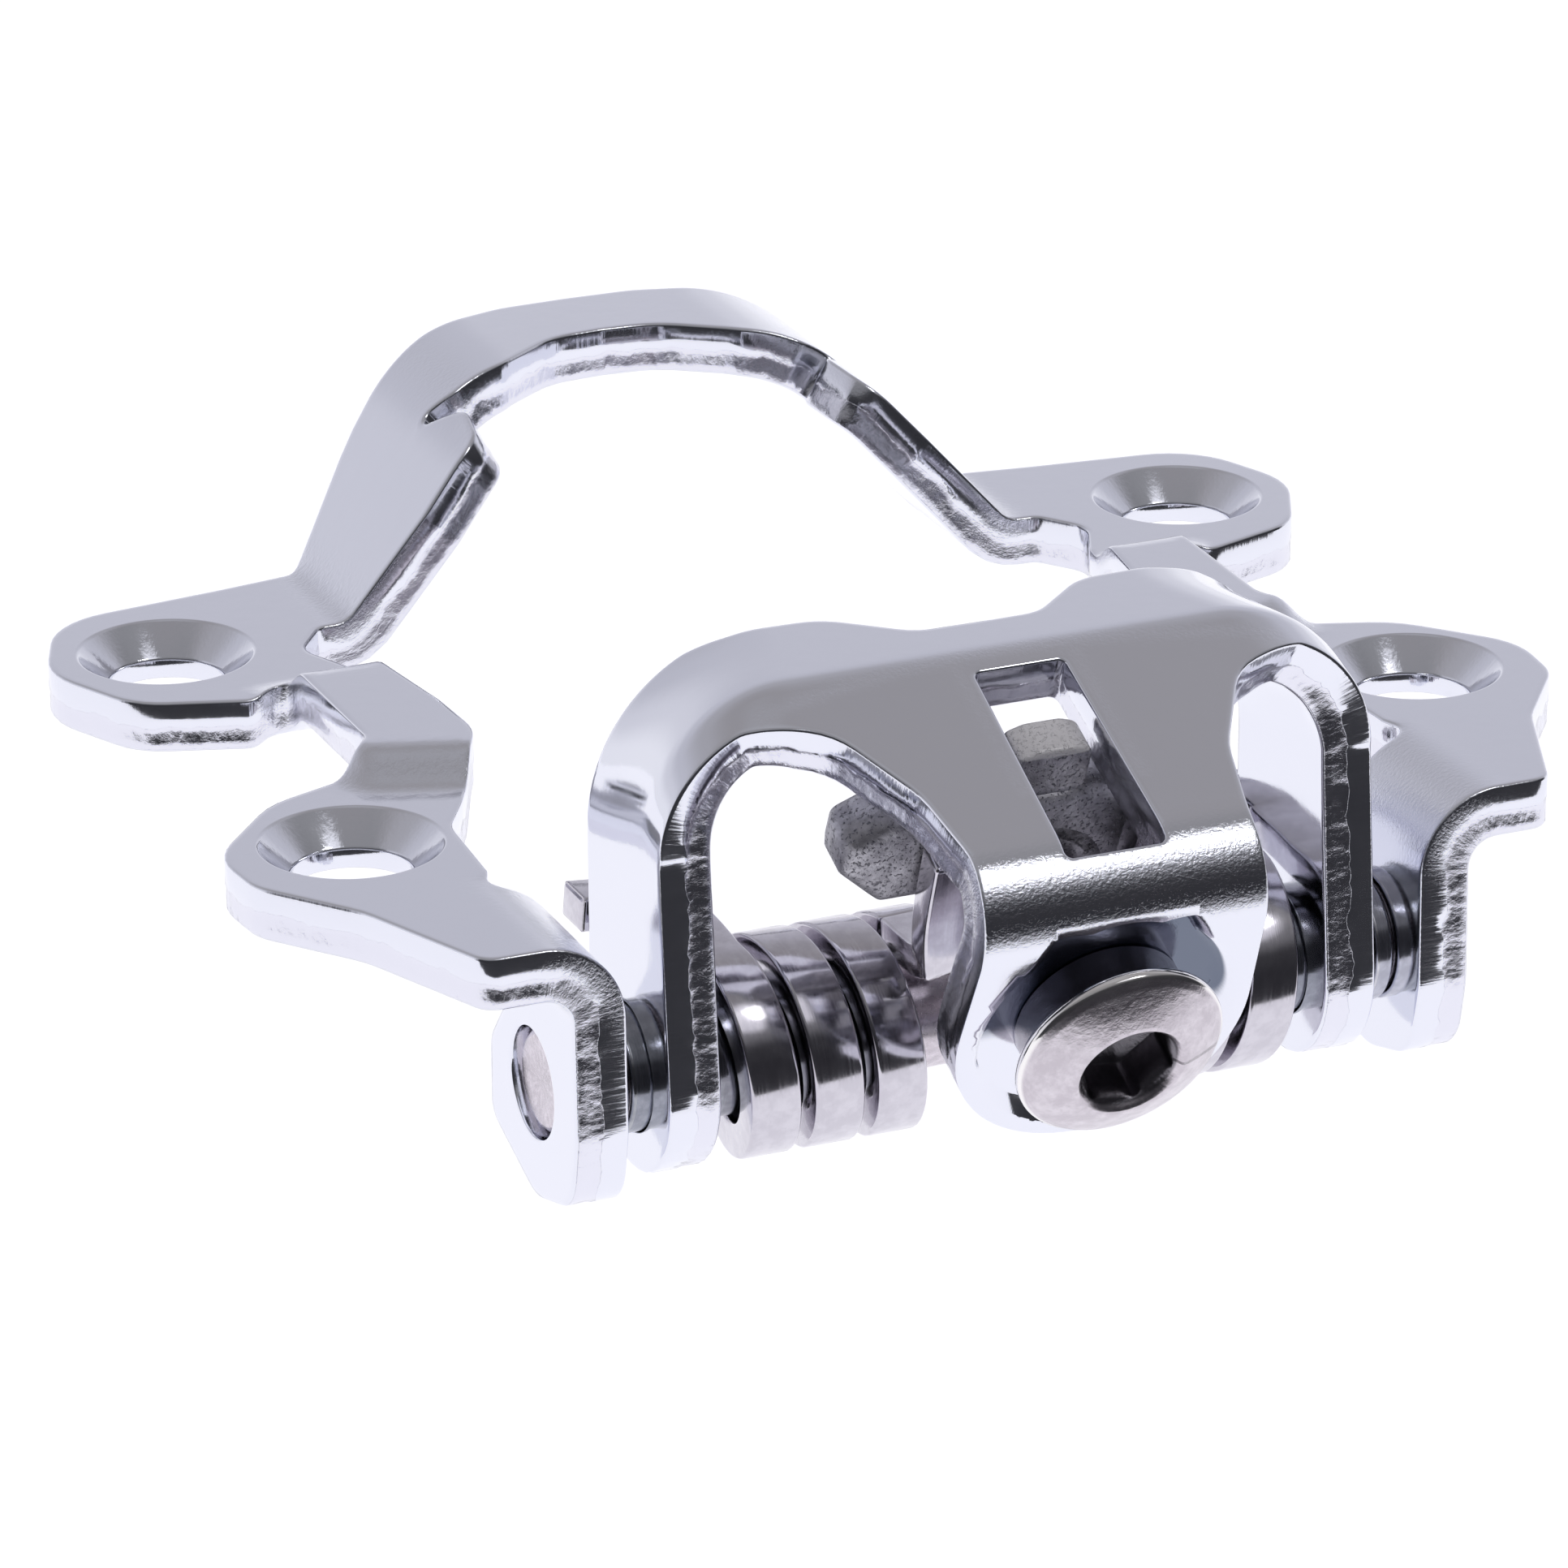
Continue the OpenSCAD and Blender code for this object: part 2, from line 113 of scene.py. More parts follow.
def inward(loop):
    """Unit normals to the left of travel, which is into the metal for every loop."""
    ahead = np.roll(loop, -1, axis=0) - loop
    behind = loop - np.roll(loop, 1, axis=0)
    ahead /= np.linalg.norm(ahead, axis=1)[:, None]
    behind /= np.linalg.norm(behind, axis=1)[:, None]
    t = ahead + behind
    t /= np.maximum(np.linalg.norm(t, axis=1), 1e-6)[:, None]
    return np.stack([-t[:, 1], t[:, 0]], axis=1)


def circle(x, y, r):
    """Points of a whole circle."""
    a = np.linspace(0, 2 * math.pi, 64, endpoint=False)
    return np.stack([x + r * np.cos(a), y + r * np.sin(a)], axis=1)


def inside(points, loops):
    """Even-odd test of each point against all the loops together."""
    hit = np.zeros(len(points), bool)
    px, py = points[:, 0], points[:, 1]
    for loop in loops:
        for (ax, ay), (bx, by) in zip(loop, np.roll(loop, -1, axis=0)):
            if ay == by:
                continue
            crosses = (ay > py) != (by > py)
            hit ^= crosses & (px < (bx - ax) * (py - ay) / (by - ay) + ax)
    return hit


def distance_to(points, cloud):
    """Distance from each point to the nearest point of the cloud, in batches to save memory."""
    best = np.full(len(points), 1e9)
    for start in range(0, len(cloud), 200):
        d = points[:, None, :] - cloud[None, start:start + 200, :]
        best = np.minimum(best, np.sqrt((d ** 2).sum(axis=2)).min(axis=1))
    return best


def smooth(x, a, b):
    """0 before a, 1 after b, and an eased step between them."""
    t = np.clip((x - a) / (b - a), 0, 1)
    return t * t * (3 - 2 * t)


# ---------------------------------------------------------------- mesh helpers

def make_object(name, verts, faces, material, body, attributes):
    """A smooth mesh of verts in millimetres, riding body unless that is None."""
    mesh = bpy.data.meshes.new(name)
    mesh.from_pydata([tuple(v) for v in np.asarray(verts) * MM], [], faces)
    for key, values in attributes.items():
        values = np.asarray(values, float)
        if values.ndim == 1:
            numbers = mesh.attributes.new(key, "FLOAT", "POINT")
            numbers.data.foreach_set("value", values)
        else:
            vectors = mesh.attributes.new(key, "FLOAT_VECTOR", "POINT")
            vectors.data.foreach_set("vector", values.ravel())
    mesh.polygons.foreach_set("use_smooth", [True] * len(mesh.polygons))
    mesh.materials.append(material)
    mesh.update()
    obj = bpy.data.objects.new(name, mesh)
    bpy.context.scene.collection.objects.link(obj)
    if body:
        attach(obj, body)
    return obj


# Kinds of cut edge, and how far the first ring of points inside each lies from the cut.
SHEARED, COUNTERSUNK, CLEAN = "sheared", "countersunk", "clean"
REACH = {SHEARED: 0.34, COUNTERSUNK: 1.60, CLEAN: 0.26}


def wall_rows(kind, loop, seed):
    """Rows of the cut edge from top to bottom, each as (inset, depth, zone) for every point.

    zone is 0 on the sheet's faces, about 0.2 to 0.5 where it is cut and up to 1 where it is torn.
    """
    n = len(loop)
    step = np.linalg.norm(np.roll(loop, -1, axis=0) - loop, axis=1)
    along = np.concatenate([[0], np.cumsum(step)[:-1]])
    length = float(step.sum())
    angle = 2 * math.pi * along / length
    ring = length / (2 * math.pi)

    def wobble(scale, offset):
        return np.array([
            noise.noise(Vector((ring * math.cos(a) * scale, ring * math.sin(a) * scale, seed + offset)))
            for a in angle
        ])

    def row(inset, depth, zone):
        return np.zeros(n) + inset, np.zeros(n) + depth, np.zeros(n) + zone

    if kind == CLEAN:
        return [
            row(0.10, 0, 0.2), row(0.03, 0.03, 0.3), row(0, 0.10, 0.4),
            row(0, SHEET - 0.10, 0.4), row(0.03, SHEET - 0.03, 0.3), row(0.10, SHEET, 0.2)
        ]
    if kind == COUNTERSUNK:
        sink = 1.45  # depth of the countersink, and its width all round
        return [
            row(sink + 0.10, 0, 0), row(sink + 0.02, 0.03, 0.3), row(sink - 0.06, 0.10, 0.4),
            row(0.75, sink - 0.71, 0.4), row(0.08, sink - 0.05, 0.4), row(0.02, sink + 0.02, 0.4),
            row(0, sink + 0.12, 0.5), row(0, SHEET - 0.12, 0.7), row(0.10, SHEET, 0.3)
        ]
    line = SHEET * (0.50 + 0.10 * wobble(0.9, 0) + 0.05 * wobble(3.5, 5))
    rough = 0.035 * wobble(2.2, 9)
    return [
        row(0.16, 0, 0.2), row(0.07, 0.02, 0.35), row(0.02, 0.07, 0.45), row(0, 0.17, 0.5),
        row(0, 0.30 * SHEET, 0.5),
        (np.zeros(n), line - 0.03, np.zeros(n) + 0.5),
        (0.03 + 0.5 * np.abs(rough), line + 0.05, np.zeros(n) + 1.0),
        (0.05 + rough, line + 0.30, np.zeros(n) + 1.0),
        (0.04 - rough, line * 0.4 + SHEET * 0.6, np.zeros(n) + 1.0),
        row(0.03, SHEET - 0.12, 0.9), row(0.10, SHEET, 0.4)
    ]


def face_mesh(outline, support, lines, spacing):
    """Flat triangles over a grid of points, between the support rings and along the lines.

    Returns the points, the triangles, and which point each point of the rings became.
    """
    low, high = outline.min(axis=0), outline.max(axis=0)
    gx, gy = np.meshgrid(
        np.arange(low[0], high[0], spacing), np.arange(low[1], high[1], spacing * 0.87), indexing="ij"
    )
    gx = gx + (np.arange(gx.shape[1]) % 2) * spacing / 2
    grid = np.stack([gx.ravel(), gy.ravel()], axis=1)
    lines = [spaced(line, 0.25) for line in lines]
    cloud = np.concatenate(support + lines)
    grid = grid[inside(grid, support)]
    grid = grid[distance_to(grid, cloud) > 0.4 * spacing]
    points, edges = [], []
    for loop in support + lines:
        base = len(points)
        points += list(loop)
        edges += [(base + k, base + (k + 1) % len(loop)) for k in range(len(loop))]
    points += list(grid)
    flat, _, tris, origin, _, _ = delaunay_2d_cdt([Vector(p) for p in points], edges, [], 0, 1e-6)
    flat = np.array([tuple(p) for p in flat])
    where = {}
    for i, sources in enumerate(origin):
        for source in sources:
            where[source] = i
    centres = np.array([flat[list(t)].mean(axis=0) for t in tris])
    keep = inside(centres, support)
    return flat, [tuple(t) for t, k in zip(tris, keep) if k], where


def sheet_part(name, outline, holes, fold, material, body, strain, spacing=0.6, lines=(), painted_shade_at=None):
    """Sheet metal cut to an outline with holes, then formed by fold(u, v, depth).

    holes is a list of (loop, kind of cut). lines are extra loops that the grid of points follows.
    strain(u, v) says where the sheet is worked by a bend, and the last argument where painted shade
    darkens its top face.
    """
    loops = [(turned_so(spaced(outline, 0.30), True), SHEARED)]
    loops += [(turned_so(spaced(loop, 0.30), False), kind) for loop, kind in holes]
    support = [loop + inward(loop) * REACH[kind] for loop, kind in loops]
    flat, tris, where = face_mesh(outline, support, lines, spacing)
    count = len(flat)
    uvd = [np.column_stack([flat, np.zeros(count)]), np.column_stack([flat, np.full(count, SHEET)])]
    zone = [np.zeros(count), np.zeros(count)]
    faces = tris + [tuple(i + count for i in reversed(t)) for t in tris]
    total = 2 * count
    base = 0
    for seed, (loop, kind) in enumerate(loops):
        n = len(loop)
        normals = inward(loop)
        rings = [[where[base + k] for k in range(n)]]
        for inset, depth, value in wall_rows(kind, loop, 10.0 * seed):
            uvd.append(np.column_stack([loop + normals * inset[:, None], depth]))
            zone.append(value)
            rings.append(list(range(total, total + n)))
            total += n
        rings.append([where[base + k] + count for k in range(n)])
        for upper, lower in zip(rings, rings[1:]):
            faces += [(upper[k], lower[k], lower[(k + 1) % n], upper[(k + 1) % n]) for k in range(n)]
        base += n
    uvd = np.concatenate(uvd)
    verts = fold(uvd[:, 0], uvd[:, 1], uvd[:, 2])
    used = sorted({i for f in faces for i in f})
    renumber = {old: new for new, old in enumerate(used)}
    faces = [tuple(renumber[i] for i in f) for f in faces]
    u, v, depth = uvd[used].T
    # Painted shade: the dark colour in the bolt's seat, full on the top face and fading to none at the
    # underside.
    painted_shade = np.zeros(len(used)) if painted_shade_at is None else painted_shade_at(u, v) * (1 - depth / SHEET)
    return make_object(name, verts[used], faces, material, body, {
        "flat": uvd[used], "zone": np.concatenate(zone)[used], "strain": strain(u, v), "painted_shade": painted_shade,
    })


# ---------------------------------------------------------------- frame plate

HOOP_FOOT, HOOP_SHOULDER, HOOP_TOP = 17.7, 9.35, 11.85
HOOP_ANGLE = math.atan2(HOOP_TOP - SHEET, HOOP_FOOT - HOOP_SHOULDER)
HOOP_FROM = 11.5                 # y where the hoop's forming starts
TIGHT = 1.2                      # inner radius of the bends at the hoop's feet
WIDE = 8.0                       # outer radius of the hoop's upper bends
RISE = 1.4                       # height of the side strips above the ears
TAB_X, TAB_TOP = 19.7, -1.4      # inner face of the tab, and where its bend ends
TAB_BEND = 3.9                   # outer radius of the tab's bend
ARM_X = TAB_X + TAB_BEND
TAB_START = ARM_X - TAB_BEND * math.pi / 2
HOLE_X, HOLE_Y, HOLE_R = 27, 13, 2.8

# Right half of the flat sheet's outside as (x, y, radius), from the front middle to the hinge tab.
FRAME_HALF = [
    (0, 28.8, 0), (3.6, 28.7, 5), (8.2, 27.4, 4), (13.0, 25.2, 8), (17.9, 20.5, 1), (22.0, 19.9, 6),
    (30.8, 18.9, 4.5), (33.2, 12.6, 4.5), (30.6, 7.0, 3.5), (25.2, 5.2, 1.2), (23.2, 6.4, 0.6),
    (23.1, -4.6, 1.5), (24.6, -5.7, 1.6), (29.0, -7.3, 5), (33.2, -12.2, 4), (32.8, -16.2, 3),
    (29.3, -20.8, 5), (26.3, -28.1, 1.2), (TAB_START, -28.2, 0),
]
# Corners of the hinge tab as (y, z, radius), from the rear edge round to the front edge.
TAB_SIDE = [
    (-28.2, TAB_TOP, 0), (-28.3, -7.0, 3), (-27.6, -10.6, 2.6), (-23.0, -11.9, 3), (-17.5, -9.9, 1.2),
    (-17.6, -6.0, 1.5), (-20.4, -2.6, 1.5), (-20.4, TAB_TOP, 0),
]
# Right half of the opening inside the frame as (x, y, radius), from the tab to the front middle.
INNER_HALF = [
    (TAB_START, -20.4, 0), (23.2, -20.3, 0.8), (22.5, -18.6, 1.0), (22.15, -13.0, 3), (20.6, -10.4, 3),
    (18.1, -5.6, 4), (18.3, -1.5, 8), (19.3, 5.6, 0.4), (19.6, 7.6, 1.0), (20.9, 10.6, 1.6),
    (19.2, 13.0, 0.8), (13.5, 13.4, 1.2), (10.2, 14.4, 1.6), (9.6, 17.6, 1.2), (11.9, 20.1, 0.5),
    (9.4, 19.8, 1.5), (6.4, 20.7, 3), (2.8, 23.3, 4), (0, 23.5, 0),
]


def frame_outline():
    """Outline of the flat sheet, mirrored from its right half."""
    tab = rounded(TAB_SIDE, closed=False)
    tab = np.stack([TAB_START - (TAB_TOP - tab[:, 1]), tab[:, 0]], axis=1)
    half = np.concatenate([rounded(FRAME_HALF, closed=False), tab, rounded(INNER_HALF, closed=False)])
    other = half[::-1] * [-1, 1]
    return np.concatenate([half[:-1], other[:-1]])


def rear_crease(x):
    """Where the side strip starts to rise from the rear ear."""
    return -7.3 + (x - 19.4) * 0.33


def strip_rise(x, y):
    """Height of the pressed-up side strips above the ears."""
    front = 1 - smooth(y, 4.0, 6.8)
    crease = rear_crease(x)
    rear = smooth(y, crease - 2.3, crease + 0.6)
    return RISE * front * rear * (1 - smooth(x, 23.4, 25.4))


def hoop_shape(x):
    """Slope and height of the hoop's upper face: a level top, a bend, a straight side and a bend."""
    top_bend = HOOP_SHOULDER - WIDE * math.tan(HOOP_ANGLE / 2)
    foot_bend = HOOP_FOOT + TIGHT * math.tan(HOOP_ANGLE / 2)
    side_from = top_bend + WIDE * math.sin(HOOP_ANGLE)
    side_to = foot_bend - TIGHT * math.sin(HOOP_ANGLE)
    in_top_bend = np.arcsin(np.clip((x - top_bend) / WIDE, 0, math.sin(HOOP_ANGLE)))
    in_foot_bend = np.arcsin(np.clip((foot_bend - x) / TIGHT, 0, 1))
    angle = np.where(x > side_to, in_foot_bend, np.where(x < top_bend, 0, in_top_bend))
    on_top = HOOP_TOP - WIDE * (1 - np.cos(angle))
    on_side = HOOP_TOP - WIDE * (1 - math.cos(HOOP_ANGLE)) - (x - side_from) * math.tan(HOOP_ANGLE)
    on_foot = SHEET + TIGHT * (1 - np.cos(angle))
    height = np.where(x < side_from, on_top, np.where(x < side_to, on_side, on_foot))
    return angle, height


def tab_shape(x, depth):
    """Place of the sheet where the hinge tab is bent down from the ear, as x and z."""
    bend = np.clip((ARM_X - x) / TAB_BEND, 0, math.pi / 2)
    below = np.maximum(TAB_START - x, 0)
    across = np.where(x > ARM_X, x, ARM_X - np.sin(bend) * (TAB_BEND - depth))
    return across, TAB_TOP - below + np.cos(bend) * (TAB_BEND - depth)


def frame_fold(x, y, depth):
    """The frame plate's forming: hoop, side strips and hinge tabs."""
    side, x = np.sign(x), np.abs(x)
    angle, height = hoop_shape(x)
    hoop = y > HOOP_FROM
    angle = np.where(hoop, angle, 0)
    height = np.where(hoop, height, SHEET + strip_rise(x, y))
    px = x - np.sin(angle) * depth
    pz = height - np.cos(angle) * depth
    tab_x, tab_z = tab_shape(x, depth)
    share = np.clip(smooth(-y, 18.9, 19.9) + (x < TAB_START + 2) * (y < -15), 0, 1)
    px = px + (tab_x - px) * share
    pz = pz + (tab_z - pz) * share
    return np.stack([px * side, y, pz], axis=1)


def frame_strain(x, y):
    """1 where the sheet is bent most."""
    x = np.abs(x)
    hoop = (y > HOOP_FROM) * (np.exp(-((x - 17.6) / 1.0) ** 2) + 0.5 * np.exp(-((x - 9.3) / 1.6) ** 2))
    strip = (y < 11) * (x < 25) * (
        np.exp(-((y - 5.4) / 1.4) ** 2) + np.exp(-((y - rear_crease(x) + 1.0) / 1.3) ** 2)
    )
    tab = (y < -19) * np.exp(-((x - (ARM_X + TAB_START) / 2) / 2.6) ** 2)
    return np.clip(hoop + strip + tab, 0, 1)


def frame_plate(material):
    """The frame plate, with its four fixing holes and the two holes for the hinge pin."""
    holes = [
        (circle(sx * HOLE_X, sy * HOLE_Y, HOLE_R), COUNTERSUNK) for sx in (-1, 1) for sy in (-1, 1)
    ]
    pin_u = TAB_START - (TAB_TOP - HINGE_Z)
    holes += [(circle(sx * pin_u, HINGE_Y, PIN_R + 0.12), CLEAN) for sx in (-1, 1)]
    obj = sheet_part(
        "frame_plate_formed", frame_outline(), holes, frame_fold, material, "frame", frame_strain
    )
    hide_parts("frame_plate")


# ---------------------------------------------------------------- rear jaw

JAW_X = 17.6                     # outer face of the jaw's legs
TONGUE_S = 15.4                  # outer face of the tongue, down the slope from the crease
TONGUE_BEND = 4.0                # outer radius of the bend above the tongue
SEAT_R, SEAT_DEPTH = 6.0, 1.0    # the seat pressed into the tongue for the bolt's head
SEAT_CORNER, SEAT_CORNER_R = 60, 6.75  # its pointed corners: degrees above level, and radius
SEAT_FALL = 0.055                # radius lost for each degree away from a corner

# v on the flat sheet where the bend starts, where it ends and where the bolt goes through.
BEND_V = TONGUE_S - TONGUE_BEND
TONGUE_V = BEND_V + TONGUE_BEND * math.pi / 2
BOLT_V = TONGUE_V + (-BOLT_H - TONGUE_BEND)

# Height profile of the jaw along its middle: angle below level, then position, at steps of v.
PROFILE_V = np.linspace(-10, 34, 4401)
PROFILE_ANGLE = SLOPE * smooth(PROFILE_V, -0.45, 0.45) + math.pi / 2 * np.clip(
    (PROFILE_V - BEND_V) / (TONGUE_V - BEND_V), 0, 1
)
PROFILE_STEP = PROFILE_V[1] - PROFILE_V[0]
PROFILE_Y = -np.cumsum(np.cos(PROFILE_ANGLE)) * PROFILE_STEP
PROFILE_Z = -np.cumsum(np.sin(PROFILE_ANGLE)) * PROFILE_STEP
PROFILE_Y += CREASE_Y - np.interp(0, PROFILE_V, PROFILE_Y)
PROFILE_Z += LIP_Z - np.interp(-2, PROFILE_V, PROFILE_Z)


def corner_radius(v):
    """Radius of the bend between the jaw's back and its legs."""
    return 8.5 - 2.0 * smooth(v, -6.5, 2.0)


def leg_point(y, z):
    """Flat position (t, v) of a point (y, z) on the jaw's leg."""
    v = CREASE_Y - y
    r = corner_radius(v)
    level = np.interp(v, PROFILE_V, PROFILE_Z) - r
    return JAW_X - r + r * math.pi / 2 + (level - z), v


def seat_radius(bearing):
    """Radius of the pressed seat of the bolt head: a circle with a pointed upper corner each side.

    bearing is the angle in degrees above level, from -90 to 90 on either side.
    """
    return np.maximum(SEAT_R, SEAT_CORNER_R - SEAT_FALL * np.abs(bearing - SEAT_CORNER))


def seat_star(grow):
    """Outline of the pressed seat, grown by a margin."""
    a = np.linspace(0, 2 * math.pi, 180, endpoint=False)
    r = seat_radius(np.degrees(np.arcsin(np.clip(np.sin(a), -1, 1)))) + grow
    return np.stack([r * np.cos(a), BOLT_V - r * np.sin(a)], axis=1)


def jaw_fold(t, v, depth):
    """The jaw's forming: legs, sloping back, tongue and the seat pressed into the tongue."""
    side, t = np.sign(t), np.abs(t)
    r = corner_radius(v)
    flat = JAW_X - r
    theta = np.clip((t - flat) / r, 0, math.pi / 2)
    below = np.maximum(t - flat - r * math.pi / 2, 0)
    angle = np.interp(v, PROFILE_V, PROFILE_ANGLE)
    seat = np.sqrt(t ** 2 + (v - BOLT_V) ** 2)
    bearing = np.degrees(np.arctan2(BOLT_V - v, t))
    pressed = 1 - smooth(seat - seat_radius(bearing), -0.14, 0.14)
    pressed = SEAT_DEPTH * pressed * (v > TONGUE_V - 4)
    depth = depth + pressed * np.clip(1 - depth / SHEET, 0, 1)
    share = theta / (math.pi / 2)
    y = np.interp(v, PROFILE_V, PROFILE_Y) * (1 - share) + (CREASE_Y - v) * share
    z = np.interp(v, PROFILE_V, PROFILE_Z) - r * (1 - np.cos(theta)) - below
    x = np.where(t < flat, t, flat + r * np.sin(theta))
    x = x - np.sin(theta) * depth
    y = y + np.cos(theta) * np.sin(angle) * depth
    z = z - np.cos(theta) * np.cos(angle) * depth
    return np.stack([x * side, y, z], axis=1)


def jaw_painted_shade(t, v):
    """1 in the upper part of the pressed seat of the bolt head, where shade and the reflection of the
    head's dark underside are painted on.
    """
    return inside(np.stack([t, v], axis=1), [seat_star(-0.1)]) * (1 - smooth(v - BOLT_V, -1.5, 2.5))


def jaw_strain(t, v):
    """1 where the sheet is bent most: at the crease, the ridges by the window and the tongue."""
    t = np.abs(t)
    crease = np.exp(-((v - 0.2 - 0.01 * t ** 2) / 0.45) ** 2) * (t < 13)
    crease = crease + 0.6 * np.exp(-((t - 2.9) / 0.4) ** 2) * (v > 1) * (v < 9)
    bend = np.exp(-((v - (BEND_V + TONGUE_V) / 2) / 2.6) ** 2)
    return np.clip(crease + bend, 0, 1)


def jaw_outline():
    """Outline of the flat sheet (t, v): lip, leg, arch, back and tongue, mirrored."""
    lip = rounded([
        (0, -22.05, 0), (3.0, -22.0, 2), (6.4, -18.9, 3), (11.0, -18.75, 3), (13.0, -18.3, 2),
        (15.0, -18.25, 0)
    ], closed=False)
    lip = [(x, CREASE_Y - y) for x, y in lip]
    leg = rounded([
        (-18.25, 7.0, 0), (-18.2, -11.1, 4.8), (-28.4, -11.1, 4.8), (-27.1, 3.5, 6), (-27.0, 5.0, 0)
    ], closed=False)
    leg = [leg_point(y, z) for y, z in leg]
    back = rounded([
        (21.0, 1.65, 0), (13.9, 2.0, 1.5), (9.9, 3.6, 3.2), (7.5, 8.0, 4), (6.75, BEND_V + 0.5, 6),
        (6.9, TONGUE_V, 8), (7.08, BOLT_V - 0.8, 0)
    ], closed=False)
    back = [tuple(p) for p in back]
    end = [(7.1 * math.cos(a), BOLT_V + 7.1 * math.sin(a)) for a in np.linspace(0, math.pi / 2, 20)]
    half = np.array(lip[:-1] + leg + back + end)
    return np.concatenate([half[:-1], (half[::-1] * [-1, 1])[:-1]])


def rear_jaw(material):
    """The sprung claw, with its window, the eyes for the bushes and the hole for the bolt."""
    window = rounded([
        (-2.2, 1.3, 0.35), (2.2, 1.3, 0.35), (2.42, 12.84, 0.35), (-2.42, 12.84, 0.35)
    ])
    eye = circle(HINGE_Y, HINGE_Z, BUSH_R + 0.06)
    eye = np.array([leg_point(y, z) for y, z in eye])
    bolt_hole = circle(0, BOLT_V, BOLT_R + 0.3)
    holes = [(window, SHEARED), (eye, CLEAN), (eye * [-1, 1], CLEAN), (bolt_hole, CLEAN)]
    obj = sheet_part(
        "rear_jaw_formed", jaw_outline(), holes, jaw_fold, material, "jaw", jaw_strain,
        spacing=0.5, lines=[seat_star(-0.16), seat_star(0.16)], painted_shade_at=jaw_painted_shade
    )
    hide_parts("rear_jaw")


# ---------------------------------------------------------------- turned and swept pieces

def grid_faces(rows, columns, closed_rows=False):
    """Quads of a lattice whose columns wrap round; rows run along it."""
    faces = []
    for i in range(rows if closed_rows else rows - 1):
        for k in range(columns):
            a, b = i * columns, ((i + 1) % rows) * columns
            faces.append((a + k, a + (k + 1) % columns, b + (k + 1) % columns, b + k))
    return faces


def turned_piece(name, profile, origin, axis, material, body, node, closed=True, shape=None):
    """A piece turned about axis from origin; profile is a list of (radius, height along the axis).

    shape(i, radius, height, angles) may give ring i a radius of its own at every angle.
    """
    sides = 96
    axis = np.array(axis, float) / np.linalg.norm(axis)
    x = np.cross([0.0, 0.0, 1.0], axis)
    x = np.array([0.0, 1.0, 0.0]) if np.linalg.norm(x) < 0.1 else x / np.linalg.norm(x)
    y = np.cross(axis, x)
    angles = np.linspace(0, 2 * math.pi, sides, endpoint=False)
    verts = []
    for i, (r, h) in enumerate(profile):
        radii = np.full(sides, float(r)) if shape is None else shape(i, r, h, angles)
        ring = np.outer(radii * np.cos(angles), x) + np.outer(radii * np.sin(angles), y)
        verts.append(np.array(origin) + ring + axis * h)
    faces = grid_faces(len(profile), sides, closed)
    verts = np.concatenate(verts)
    flat = np.column_stack([
        np.tile(angles, len(profile)) * 3, np.repeat([h for _, h in profile], sides),
        np.repeat([r for r, _ in profile], sides)
    ])
    obj = make_object(name, verts, faces, material, body, {"flat": flat})
    if node:
        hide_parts(node)
    return obj


def hinge_pin(material):
    half = 21.85                     # half the pin's length
    profile = [(0.01, -half + 0.12), (1.2, -half + 0.08), (2.0, -half), (2.12, -half + 0.01)]
    profile += [(2.44, -half + 0.33), (PIN_R, -half + 0.48)]
    profile += [(PIN_R, x) for x in np.linspace(-half + 1.2, half - 1.2, 24)]
    profile += [(r, -h) for r, h in reversed(profile[:6])]
    obj = turned_piece(
        "hinge_pin_ground", profile, (0, HINGE_Y, HINGE_Z), (1, 0, 0), material, "frame", "hinge_pin",
        closed=False
    )


def ring_profile(inner, outer, start, end, chamfer):
    """Section of a ring with broken edges, for turned_piece."""
    c = chamfer
    return [
        (inner + c, start), (outer - c, start), (outer - 0.3 * c, start + 0.3 * c), (outer, start + c),
        (outer, start + 1.6 * c), (outer, end - 1.6 * c), (outer, end - c),
        (outer - 0.3 * c, end - 0.3 * c), (outer - c, end), (inner + c, end), (inner, end - c),
        (inner, start + c)
    ]


def bushes_and_washers(bush_metal, washer_metal):
    """The sleeves that the jaw turns on, and the washers between its legs and the hinge tabs."""
    for side, name in ((-1, "left"), (1, "right")):
        bush = turned_piece(
            f"pivot_bush_{name}_turned", ring_profile(PIN_R + 0.05, BUSH_R, 6.5, 18.55, 0.15),
            (0, HINGE_Y, HINGE_Z), (side, 0, 0), bush_metal, "frame", f"pivot_bush_{name}"
        )
        washer = turned_piece(
            f"spacer_washer_{name}_turned", ring_profile(PIN_R + 0.05, 3.1, 18.72, 19.58, 0.12),
            (0, HINGE_Y, HINGE_Z), (side, 0, 0), washer_metal, "frame", f"spacer_washer_{name}"
        )


# ---------------------------------------------------------------- torsion springs

WIRE_W, WIRE_H = 2.42, 1.68      # width along the coil's axis, and thickness
COIL_R, COIL_X, PITCH, TURNS = 4.25, 13.2, 3.1, 3
COIL_STEPS = 60                  # points on the wire's path for each turn
ARM_S = 7.75                     # how far down the slope the inner arm bears on the nut
DOWN_SLOPE = np.array([0, -math.cos(SLOPE), -math.sin(SLOPE)])
OFF_SLOPE = np.array([0, -math.sin(SLOPE), math.cos(SLOPE)])
CREASE = np.array([0, CREASE_Y, LIP_Z])


def slope_point(x, s, h):
    """Point s down the jaw's slope from its crease, and h out from its outer face."""
    return CREASE + np.array([x, 0, 0]) + DOWN_SLOPE * s + OFF_SLOPE * h


def coil_station(turn):
    """Centre of the wire after so many turns, and its outward direction."""
    a = 2 * math.pi * turn
    out = np.array([0, -math.sin(a), math.cos(a)])
    return np.array([COIL_X - PITCH * turn, HINGE_Y, HINGE_Z]) + COIL_R * out, out


